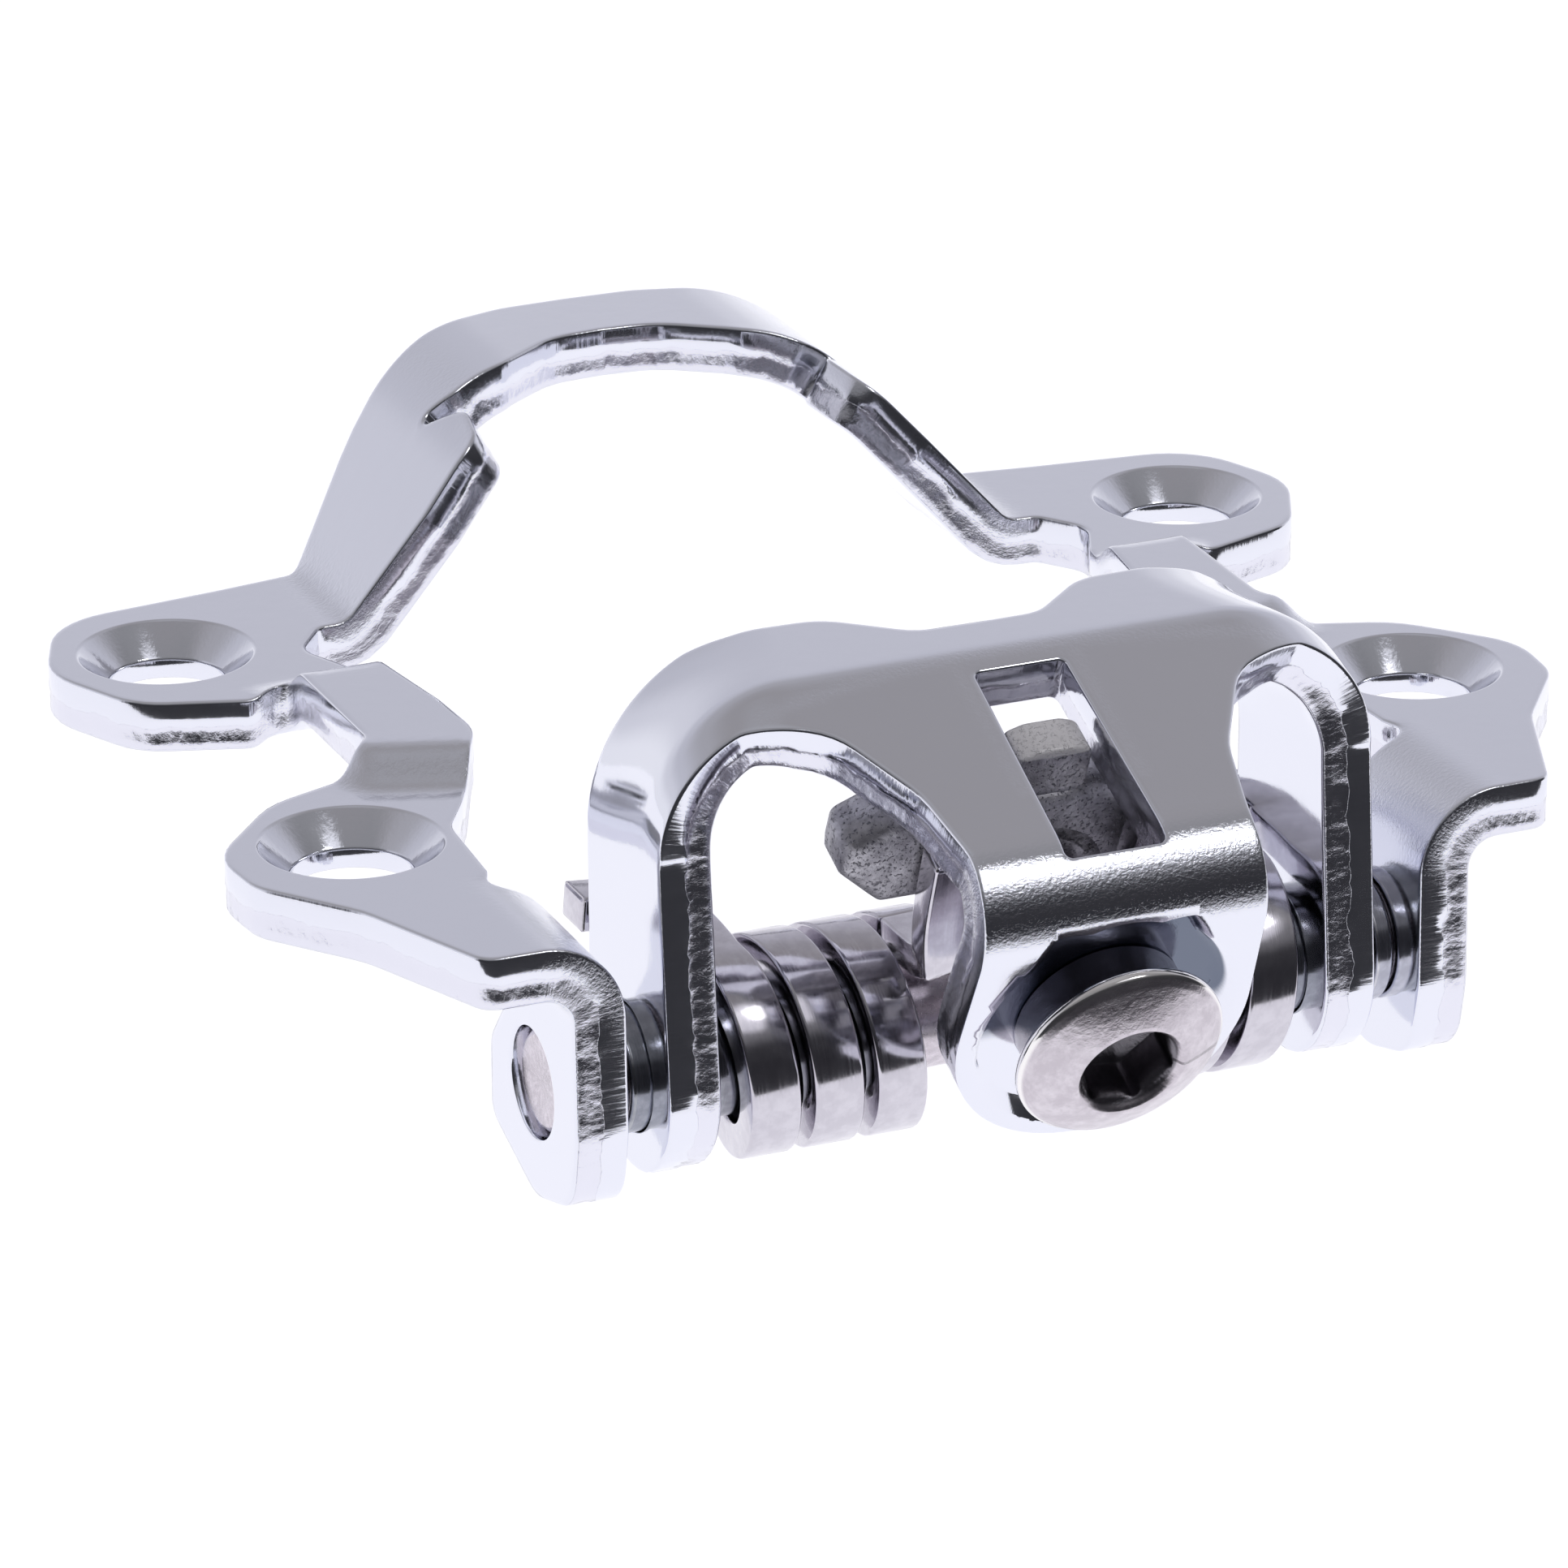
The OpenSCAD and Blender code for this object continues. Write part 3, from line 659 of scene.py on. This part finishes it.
def smooth_path(points, count):
    """A curve through the points, with its second set of vectors carried along."""
    centres = np.array([p for p, _ in points], float)
    outs = np.array([o for _, o in points], float)
    knots = np.concatenate([[0], np.cumsum(np.linalg.norm(np.diff(centres, axis=0), axis=1) ** 0.5)])

    def catmull(values, t):
        i = int(np.clip(np.searchsorted(knots, t) - 1, 0, len(knots) - 2))
        p1, p2 = values[i], values[i + 1]
        p0 = values[i - 1] if i > 0 else 2 * p1 - p2
        p3 = values[i + 2] if i + 2 < len(values) else 2 * p2 - p1
        u = (t - knots[i]) / (knots[i + 1] - knots[i])
        return 0.5 * (
            2 * p1 + (p2 - p0) * u + (2 * p0 - 5 * p1 + 4 * p2 - p3) * u ** 2
            + (3 * p1 - p0 - 3 * p2 + p3) * u ** 3
        )

    ts = np.linspace(0, knots[-1], count)
    return [(catmull(centres, t), catmull(outs, t)) for t in ts]


def wire_section():
    """Rounded rectangle of the flat wire, as (sideways, outward)."""
    r = 0.18
    points = []
    for cx, cy, start in ((1, 1, 0), (-1, 1, 90), (-1, -1, 180), (1, -1, 270)):
        for k in range(5):
            a = math.radians(start + 22.5 * k)
            points.append((
                cx * (WIRE_W / 2 - r) + r * math.cos(a), cy * (WIRE_H / 2 - r) + r * math.sin(a)
            ))
    return np.array(points)


def wire_piece(name, path, side, material, scale=1.0):
    """Flat wire along a path of (centre, outward direction), with both ends broken; side mirrors it."""
    section = wire_section() * scale
    centres = np.array([p for p, _ in path])
    outs = np.array([o for _, o in path])
    ahead = np.gradient(centres, axis=0)
    ahead /= np.linalg.norm(ahead, axis=1)[:, None]
    sideways = np.cross(ahead, outs)
    sideways /= np.linalg.norm(sideways, axis=1)[:, None]
    outs = np.cross(sideways, ahead)
    along = np.concatenate([[0], np.cumsum(np.linalg.norm(np.diff(centres, axis=0), axis=1))])
    steps = [(0, 0.72, 0.0), (0, 0.9, 0.05), (0, 1.0, 0.2)]
    last = len(path) - 1
    steps += [(i, 1.0, 0.0) for i in range(1, last)]
    steps += [(last, 1.0, -0.2), (last, 0.9, -0.05), (last, 0.72, 0.0)]
    verts, flat = [], []
    for i, grow, shift in steps:
        ring = centres[i] + ahead[i] * shift
        verts.append(ring + (section[:, :1] * sideways[i] + section[:, 1:] * outs[i]) * grow)
        flat.append(np.column_stack([section, np.full(len(section), along[i])]))
    n = len(section)
    faces = grid_faces(len(steps), n)
    faces.append(tuple(range(n))[::-1])
    faces.append(tuple(range((len(steps) - 1) * n, len(steps) * n)))
    verts = np.concatenate(verts) * [side, 1, 1]
    if side > 0:
        faces = [f[::-1] for f in faces]
    obj = make_object(name, verts, faces, material, None, {"flat": np.concatenate(flat)})
    return obj


def torsion_springs(material):
    """Each spring is a coil on the frame and an inner arm that bears on the nut; the arm rides no body.
    """
    up = np.array([0, 0, 1.0])
    back = -DOWN_SLOPE
    outer = [
        ((17.75, -16.6, -0.9), up), ((16.8, -16.6, -0.98), up), ((15.4, -16.6, -1.12), up),
        ((14.1, -16.9, -1.3), up), ((13.3, -17.9, -1.6), up), ((13.2, -19.2, -1.76), up),
        ((13.2, -20.9, -1.85), up), (coil_station(0)[0], up)
    ]
    coil = [coil_station(k / COIL_STEPS) for k in range(1, COIL_STEPS * TURNS + 1)]
    inner_x = COIL_X - PITCH * TURNS
    top = HINGE_Z + COIL_R
    arm_start = [coil_station(TURNS - k / COIL_STEPS) for k in (8, 6, 4, 2)]
    arm = [coil_station(TURNS), ((inner_x, HINGE_Y - 1.8, top), up),
           ((inner_x, HINGE_Y - 3.4, top + 0.1), up + 0.2 * back),
           ((inner_x + 0.1, HINGE_Y - 4.6, top + 0.55), up + 1.0 * back),
           (slope_point(inner_x + 0.5, ARM_S, -10.9), back),
           (slope_point(inner_x + 0.9, ARM_S, -8.4), back),
           (slope_point(inner_x + 1.1, ARM_S, -4.4), back)]
    for side, name in ((-1, "left"), (1, "right")):
        path = smooth_path(outer, 60)[:-1] + coil
        coil_obj = wire_piece(f"spring_{name}_coil", path, side, material)
        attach(coil_obj, "frame")
        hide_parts(f"spring_{name}")
        path = arm_start + smooth_path(arm, 50)
        arm_obj = wire_piece(f"spring_{name}_arm", path, side, material, scale=0.97)
        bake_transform(arm_obj)


# ---------------------------------------------------------------- tension nut and bolt

def slope_solid(name, outline, start, end, material, edge):
    """A prism on the jaw's slope, of outline (x, h) from s = start to s = end, with eased edges."""
    loop = turned_so(spaced(rounded(outline, step=15), 0.25), True)
    normals = inward(loop)
    n = len(loop)
    rows = []
    for inset, s in (
        (edge, start), (0.3 * edge, start + 0.3 * edge), (0, start + edge), (0, (start + end) / 2),
        (0, end - edge), (0.3 * edge, end - 0.3 * edge), (edge, end)
    ):
        ring = loop + normals * inset
        rows.append(np.array([slope_point(x, s, h) for x, h in ring]))
    verts = np.concatenate(rows)
    faces = [f[::-1] for f in grid_faces(len(rows), n)]
    faces.append(tuple(range(n)))
    faces.append(tuple(range((len(rows) - 1) * n, len(rows) * n))[::-1])
    return make_object(name, verts, faces, material, "nut", {"flat": verts})


def tension_nut(material):
    """The travelling nut: two wings, a round boss, and the indicator that shows in the window."""
    wings = slope_solid("tension_nut_wings", [
        (-9.6, -4.4, 0.8), (-7.4, -3.2, 0.8), (7.4, -3.2, 0.8), (9.6, -4.4, 0.8), (9.6, -6.4, 0.8),
        (7.5, -8.5, 0.8), (-7.5, -8.5, 0.8), (-9.6, -6.4, 0.8)
    ], 3.6, 6.6, material, edge=0.7)
    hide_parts("tension_nut")
    boss = turned_piece(
        "tension_nut_boss", ring_profile(BOLT_R + 0.05, 3.8, 3.6, 6.6, 0.3), slope_point(0, 0, BOLT_H),
        DOWN_SLOPE, material, "nut", None
    )
    indicator = slope_solid("tension_nut_indicator", [
        (-1.84, -0.98, 0.5), (-0.9, -0.62, 1.2), (0.9, -0.62, 1.2), (1.84, -0.98, 0.5),
        (1.84, -3.4, 0.3), (2.6, -4.6, 0.5), (2.6, -6.5, 0), (-2.6, -6.5, 0), (-2.6, -4.6, 0.5),
        (-1.84, -3.4, 0.3)
    ], 4.15, 6.2, material, edge=0.22)


SOCKET_HALF = 2.0                # half the width across the flats of the hexagon socket
THREAD_PITCH, THREAD_DEPTH = 0.8, 0.40


def tension_bolt(material):
    """The bolt from the tip of its thread to its domed head; heights are from the tongue outwards."""
    socket_corner = SOCKET_HALF / math.cos(math.radians(30))
    start = -TONGUE_S + 1.95
    profile = [(0.01, start), (1.9, start), (2.05, start + 0.05), (2.35, start + 0.4)]
    threads = np.arange(start + 0.5, -2.4, 0.08)
    thread_from = len(profile)
    profile += [(2.47, h) for h in threads]
    profile += [
        (BOLT_R, -2.3), (BOLT_R, -1.2), (2.6, -0.98), (3.9, -0.94), (3.98, -0.86), (3.98, 1.18),
        (4.1, 1.27), (4.75, 1.3), (4.84, 1.34), (4.9, 1.44), (4.9, 1.74), (4.86, 1.84), (4.78, 1.9)
    ]
    dome = [(r, 1.92 + 1.55 * (1 - (r / 4.95) ** 2.0)) for r in np.linspace(4.6, 2.62, 14)]
    profile += dome
    top = dome[-1][1]
    profile += [(2.52, top - 0.03), (2.42, top - 0.13), (2.28, top - 0.3), (2.2, top - 0.42)]
    hexagon_from = len(profile)
    profile += [(SOCKET_HALF, top - depth) for depth in (0.5, 1.2, 2.35)]
    profile += [(1.9, top - 2.45)]
    hexagon_to = len(profile)
    profile += [(1.2, top - 2.75), (0.01, top - 3.1)]

    def shape(i, r, h, angles):
        if thread_from <= i < thread_from + len(threads):
            phase = (h / THREAD_PITCH - angles / (2 * math.pi)) % 1
            return r - THREAD_DEPTH * np.abs(2 * phase - 1)
        if hexagon_from <= i < hexagon_to:
            sector = (angles + math.radians(10)) % (math.pi / 3) - math.pi / 6
            flat = r / np.cos(sector)
            return np.minimum(flat, socket_corner)
        return np.full(len(angles), float(r))

    obj = turned_piece(
        "tension_bolt_turned", profile, slope_point(0, TONGUE_S, BOLT_H), DOWN_SLOPE, material, "bolt",
        "tension_bolt", closed=False, shape=shape
    )


# ---------------------------------------------------------------- materials

class Graph:
    """A small helper round one material's node tree."""

    def __init__(self, name):
        self.material = bpy.data.materials.new(name)
        self.material.use_nodes = True
        self.tree = self.material.node_tree
        self.shader = self.tree.nodes["Principled BSDF"]

    def node(self, kind, **settings):
        made = self.tree.nodes.new(kind)
        for key, value in settings.items():
            setattr(made, key, value)
        return made

    def set(self, socket, value):
        if isinstance(value, bpy.types.NodeSocket):
            self.tree.links.new(value, socket)
        else:
            socket.default_value = value

    def math(self, operation, a, b):
        made = self.node("ShaderNodeMath", operation=operation)
        self.set(made.inputs[0], a)
        self.set(made.inputs[1], b)
        return made.outputs[0]

    def attribute(self, name, output="Fac"):
        return self.node("ShaderNodeAttribute", attribute_name=name).outputs[output]

    def stretched(self, vector, x, y, z):
        made = self.node("ShaderNodeMapping")
        self.set(made.inputs["Vector"], vector)
        made.inputs["Scale"].default_value = (x, y, z)
        return made.outputs[0]

    def noise(self, vector, scale, detail=3.0, rough=0.5):
        made = self.node("ShaderNodeTexNoise")
        self.set(made.inputs["Vector"], vector)
        made.inputs["Scale"].default_value = scale
        made.inputs["Detail"].default_value = detail
        made.inputs["Roughness"].default_value = rough
        return made.outputs["Fac"]

    def between(self, value, low, high, to_low=0.0, to_high=1.0):
        made = self.node("ShaderNodeMapRange", interpolation_type="SMOOTHSTEP")
        self.set(made.inputs["Value"], value)
        self.set(made.inputs["From Min"], low)
        self.set(made.inputs["From Max"], high)
        self.set(made.inputs["To Min"], to_low)
        self.set(made.inputs["To Max"], to_high)
        return made.outputs["Result"]

    def blend(self, factor, a, b):
        made = self.node("ShaderNodeMix", data_type="RGBA")
        self.set(made.inputs["Factor"], factor)
        self.set(made.inputs[6], a)
        self.set(made.inputs[7], b)
        return made.outputs[2]

    def bump(self, height, distance, strength=1.0, normal=None):
        made = self.node("ShaderNodeBump")
        self.set(made.inputs["Height"], height)
        self.set(made.inputs["Distance"], distance)
        self.set(made.inputs["Strength"], strength)
        if normal is not None:
            self.set(made.inputs["Normal"], normal)
        return made.outputs["Normal"]

    def finish(self, colour, roughness, metallic, normal=None):
        self.set(self.shader.inputs["Base Color"], colour)
        self.set(self.shader.inputs["Roughness"], roughness)
        self.set(self.shader.inputs["Metallic"], metallic)
        if normal is not None:
            self.set(self.shader.inputs["Normal"], normal)
        return self.material


def chromed_sheet():
    """Chrome plate: glossy faces, grained at the bends, torn on the lower half of the cut edges, with
    painted shade in the bolt's seat.
    """
    g = Graph("chromed_sheet")
    flat = g.attribute("flat", "Vector")
    zone = g.attribute("zone")
    strain = g.attribute("strain")
    torn = g.between(zone, 0.72, 0.92)
    brink = g.math("MULTIPLY", g.math("MULTIPLY", torn, g.math("SUBTRACT", 1.0, torn)), 4.0)
    cut = g.math("MULTIPLY", g.between(zone, 0.28, 0.42), g.math("SUBTRACT", 1.0, torn))
    peel = g.noise(flat, 0.9, 2.0)
    grain = g.noise(flat, 5.0, 4.0, 0.65)
    drag = g.noise(g.stretched(flat, 5.0, 5.0, 0.35), 1.0, 3.0)
    tear = g.noise(g.stretched(flat, 2.2, 2.2, 1.6), 1.0, 5.0, 0.7)
    smear = g.noise(g.stretched(flat, 1.0, 1.0, 0.6), 1.0, 2.0)
    fine = g.noise(flat, 22.0, 2.0)
    normal = g.bump(peel, 0.0000035)
    normal = g.bump(fine, g.math("ADD", 0.0000006, g.math("MULTIPLY", strain, 0.0000035)), 1.0, normal)
    normal = g.bump(grain, g.math("MULTIPLY", strain, 0.00003), 1.0, normal)
    normal = g.bump(drag, g.math("MULTIPLY", cut, 0.000008), 1.0, normal)
    normal = g.bump(tear, g.math("MULTIPLY", torn, 0.00003), 1.0, normal)
    normal = g.bump(smear, g.math("MULTIPLY", torn, 0.00009), 1.0, normal)
    normal = g.bump(tear, g.math("MULTIPLY", brink, 0.00022), 1.0, normal)
    worn = g.math("MULTIPLY", g.between(grain, 0.5, 0.7), strain)
    colour = g.blend(torn, (0.76, 0.77, 0.835, 1), (0.74, 0.74, 0.81, 1))
    # Painted shade: dark blue-grey in the upper part of the bolt's seat, standing in for shade and the
    # reflection of the bolt head's underside.
    seat_shade = g.between(g.attribute("painted_shade"), 0.3, 0.7)
    colour = g.blend(seat_shade, colour, (0.15, 0.17, 0.22, 1))
    rough = g.math("ADD", g.between(peel, 0.3, 0.7, 0.055, 0.085), g.math("MULTIPLY", worn, 0.12))
    rough = g.math("ADD", rough, g.math("MULTIPLY", torn, 0.07))
    rough = g.math("ADD", rough, g.math("MULTIPLY", cut, 0.03))
    return g.finish(colour, rough, 1.0, normal)


def brushed(name, colour, dark, roughness, stretch, depth):
    """Turned, ground or drawn metal with fine scratches in the direction of stretch."""
    g = Graph(name)
    flat = g.attribute("flat", "Vector")
    lines = g.noise(g.stretched(flat, *stretch), 1.0, 4.0, 0.6)
    spots = g.noise(flat, 1.6, 4.0, 0.6)
    normal = g.bump(lines, depth)
    tint = g.blend(g.between(spots, 0.35, 0.7), dark, colour)
    tint = g.blend(g.between(lines, 0.55, 0.8, 0.0, 0.6), tint, colour)
    rough = g.between(lines, 0.3, 0.7, roughness * 0.75, roughness * 1.35)
    return g.finish(tint, rough, 1.0, normal)


def sintered_nut():
    """Grey sintered steel with pores, near white and hardly metallic on the indicator's top face, where
    it shows in the window.
    """
    g = Graph("sintered_nut")
    flat = g.attribute("flat", "Vector")
    coarse = g.noise(flat, 1.4, 5.0, 0.65)
    pores = g.between(g.noise(flat, 5.5, 3.0, 0.6), 0.34, 0.46)
    position = g.node("ShaderNodeSeparateXYZ")
    g.set(position.inputs[0], flat)
    # Height above the plane of the jaw's back, which falls this much for each millimetre back.
    fall = 0.445
    height = g.math("ADD", position.outputs[2], g.math("MULTIPLY", position.outputs[1], -fall))
    top = LIP_Z - fall * CREASE_Y
    edge = g.math("ADD", height, g.math("MULTIPLY", coarse, 0.25))
    bright = g.between(edge, top - 1.02, top - 0.90)
    metal = g.blend(g.between(coarse, 0.35, 0.7), (0.36, 0.35, 0.385, 1), (0.55, 0.54, 0.58, 1))
    metal = g.blend(pores, (0.16, 0.16, 0.18, 1), metal)
    colour = g.blend(bright, metal, (0.93, 0.91, 0.93, 1))
    rough = g.math("SUBTRACT", 0.46, g.math("MULTIPLY", bright, 0.12))
    normal = g.bump(pores, 0.00003)
    normal = g.bump(coarse, 0.00008, 1.0, normal)
    return g.finish(colour, rough, g.between(bright, 0, 1, 0.85, 0.1), normal)


def nickel_bolt():
    """Satin nickel plate, faintly warm, with a grained dome, a brighter rim and painted shade in the
    hexagon socket.
    """
    g = Graph("nickel_bolt")
    flat = g.attribute("flat", "Vector")
    parts = g.node("ShaderNodeSeparateXYZ")
    g.set(parts.inputs[0], flat)
    rim = g.math(
        "MULTIPLY", g.between(parts.outputs[2], 4.70, 4.84), g.between(parts.outputs[1], 1.1, 1.3)
    )
    wrinkle = g.noise(flat, 1.3, 5.0, 0.7)
    fine = g.noise(flat, 5.0, 3.0)
    soft = g.math("SUBTRACT", 1.0, rim)
    normal = g.bump(wrinkle, g.math("MULTIPLY", soft, 0.000035))
    normal = g.bump(fine, g.math("MULTIPLY", soft, 0.000006), 1.0, normal)
    colour = g.blend(g.between(wrinkle, 0.35, 0.7), (0.53, 0.49, 0.53, 1), (0.66, 0.62, 0.66, 1))
    colour = g.blend(rim, colour, (0.86, 0.84, 0.83, 1))
    # Painted shade: all that is turned at a radius under about 2.3 mm, the hexagon socket and the
    # thread's very tip, is coloured near black.
    colour = g.blend(g.between(parts.outputs[2], 2.38, 2.28), colour, (0.20, 0.19, 0.21, 1))
    rough = g.math("ADD", 0.09, g.math("MULTIPLY", soft, 0.17))
    return g.finish(colour, rough, 1.0, normal)


# ---------------------------------------------------------------- studio

def add_floor(level, near_edge, radius):
    """A round, backlit table top, as used for cut-out product pictures."""
    outline = [
        (radius * math.cos(t) + 0.1, radius * math.sin(t) + radius + near_edge, level)
        for t in np.linspace(0, 2 * math.pi, 128, endpoint=False)
    ]
    mesh = bpy.data.meshes.new("floor")
    mesh.from_pydata(outline, [], [tuple(range(len(outline)))])
    g = Graph("floor")
    g.finish((0.86, 0.86, 0.88, 1), 0.8, 0.0)
    g.set(g.shader.inputs["Emission Color"], (0.97, 0.97, 1.0, 1))
    g.set(g.shader.inputs["Emission Strength"], 0.75)
    mesh.materials.append(g.material)
    floor = bpy.data.objects.new("floor", mesh)
    bpy.context.scene.collection.objects.link(floor)


def add_area(name, location, target, size, energy):
    """A rectangular lamp at location, aimed at target."""
    light = bpy.data.lights.new(name, "AREA")
    light.shape = "RECTANGLE"
    light.size, light.size_y = size
    light.energy = energy
    obj = bpy.data.objects.new(name, light)
    obj.location = location
    obj.rotation_euler = (Vector(target) - Vector(location)).to_track_quat("-Z", "Y").to_euler()
    bpy.context.scene.collection.objects.link(obj)


def add_world():
    """Studio surround: pale towards the front, dark behind the camera, with a soft box above it."""
    world = bpy.data.worlds.new("studio")
    bpy.context.scene.world = world
    world.use_nodes = True
    tree = world.node_tree
    background = tree.nodes["Background"]
    where = tree.nodes.new("ShaderNodeTexCoord").outputs["Generated"]
    parts = tree.nodes.new("ShaderNodeSeparateXYZ")
    tree.links.new(where, parts.inputs[0])

    def ramp(stops):
        """Colour by elevation, from stops of (degrees above the horizon, colour)."""
        made = tree.nodes.new("ShaderNodeValToRGB")
        made.color_ramp.interpolation = "EASE"
        stretched = tree.nodes.new("ShaderNodeMapRange")
        stretched.inputs["From Min"].default_value = -1
        tree.links.new(parts.outputs[2], stretched.inputs["Value"])
        tree.links.new(stretched.outputs["Result"], made.inputs["Fac"])
        elements = made.color_ramp.elements
        while len(elements) < len(stops):
            elements.new(0.5)
        for element, (elevation, colour) in zip(elements, stops):
            element.position = (math.sin(math.radians(elevation)) + 1) / 2
            element.color = (*colour, 1)
        return made.outputs["Color"]

    ahead = ramp([
        (-30, (0.95, 0.95, 1.0)), (2, (0.95, 0.95, 1.0)), (12, (0.76, 0.76, 0.82)),
        (24, (0.60, 0.60, 0.66)), (46, (0.44, 0.435, 0.46)), (66, (0.36, 0.35, 0.36)),
        (90, (0.42, 0.42, 0.44))
    ])
    behind = ramp([
        (-40, (0.05, 0.05, 0.055)), (0, (0.035, 0.035, 0.04)), (18, (0.05, 0.05, 0.055)),
        (34, (0.24, 0.24, 0.25)), (60, (0.30, 0.30, 0.31)), (80, (0.33, 0.32, 0.33)),
        (90, (0.42, 0.42, 0.44))
    ])
    turn = tree.nodes.new("ShaderNodeMapRange")
    turn.interpolation_type = "SMOOTHSTEP"
    turn.inputs["From Min"].default_value = -0.22
    turn.inputs["From Max"].default_value = 0.16
    tree.links.new(parts.outputs[1], turn.inputs["Value"])
    mix = tree.nodes.new("ShaderNodeMix")
    mix.data_type = "RGBA"
    tree.links.new(turn.outputs["Result"], mix.inputs["Factor"])
    tree.links.new(behind, mix.inputs[6])
    tree.links.new(ahead, mix.inputs[7])
    dot = tree.nodes.new("ShaderNodeVectorMath")
    dot.operation = "DOT_PRODUCT"
    tree.links.new(where, dot.inputs[0])
    dot.inputs[1].default_value = Vector((0.25, -0.60, 0.76)).normalized()  # towards the soft box
    box = tree.nodes.new("ShaderNodeMapRange")
    box.interpolation_type = "SMOOTHSTEP"
    box.inputs["From Min"].default_value = 0.955
    box.inputs["From Max"].default_value = 0.985
    tree.links.new(dot.outputs["Value"], box.inputs["Value"])
    lit = tree.nodes.new("ShaderNodeMix")
    lit.data_type = "RGBA"
    tree.links.new(box.outputs["Result"], lit.inputs["Factor"])
    tree.links.new(mix.outputs[2], lit.inputs[6])
    lit.inputs[7].default_value = (1.0, 1.0, 1.05, 1)
    tree.links.new(lit.outputs[2], background.inputs["Color"])
    background.inputs["Strength"].default_value = 1.0


def add_camera():
    """The photograph's viewpoint: behind, to the left and above, with a long lens."""
    azimuth, elevation, roll = (math.radians(a) for a in (-22.895, 22.274, -0.361))
    position = np.array([-134.94, -319.07, 137.88])
    back = np.array([
        math.sin(azimuth) * math.cos(elevation), -math.cos(azimuth) * math.cos(elevation),
        math.sin(elevation)
    ])
    right = np.array([math.cos(azimuth), math.sin(azimuth), 0])
    up = np.cross(back, right)
    c, s = math.cos(roll), math.sin(roll)
    matrix = Matrix.Identity(4)
    for column, axis in enumerate((c * right + s * up, c * up - s * right, back, position * MM)):
        for row in range(3):
            matrix[row][column] = axis[row]
    data = bpy.data.cameras.new("camera")
    data.lens = 177.8
    data.sensor_width = 36
    data.clip_start = 0.01
    camera = bpy.data.objects.new("camera", data)
    camera.matrix_world = matrix
    bpy.context.scene.collection.objects.link(camera)
    bpy.context.scene.camera = camera


# ---------------------------------------------------------------- assembly

sheet = chromed_sheet()
spring_metal = brushed(
    "spring_wire", (0.62, 0.60, 0.65, 1), (0.55, 0.53, 0.58, 1), 0.13, (12.0, 12.0, 0.15), 0.0000012
)
pin_metal = brushed(
    "ground_pin", (0.66, 0.61, 0.66, 1), (0.52, 0.48, 0.52, 1), 0.24, (1.5, 1.5, 6.0), 0.000004
)
bush_metal = brushed(
    "bushing", (0.40, 0.41, 0.44, 1), (0.30, 0.31, 0.34, 1), 0.16, (0.3, 9.0, 0.3), 0.0000012
)
washer_metal = brushed(
    "washer", (0.62, 0.62, 0.66, 1), (0.50, 0.50, 0.54, 1), 0.16, (0.3, 9.0, 0.3), 0.0000012
)
frame_plate(sheet)
rear_jaw(sheet)
hinge_pin(pin_metal)
bushes_and_washers(bush_metal, washer_metal)
torsion_springs(spring_metal)
tension_nut(sintered_nut())
tension_bolt(nickel_bolt())

add_floor(level=-0.10, near_edge=-0.205, radius=1.5)
add_area("softbox", (0.14, -0.24, 0.32), (0, 0, 0), (0.08, 0.08), 0.14)
add_world()
add_camera()
bpy.context.scene.view_settings.view_transform = "Standard"
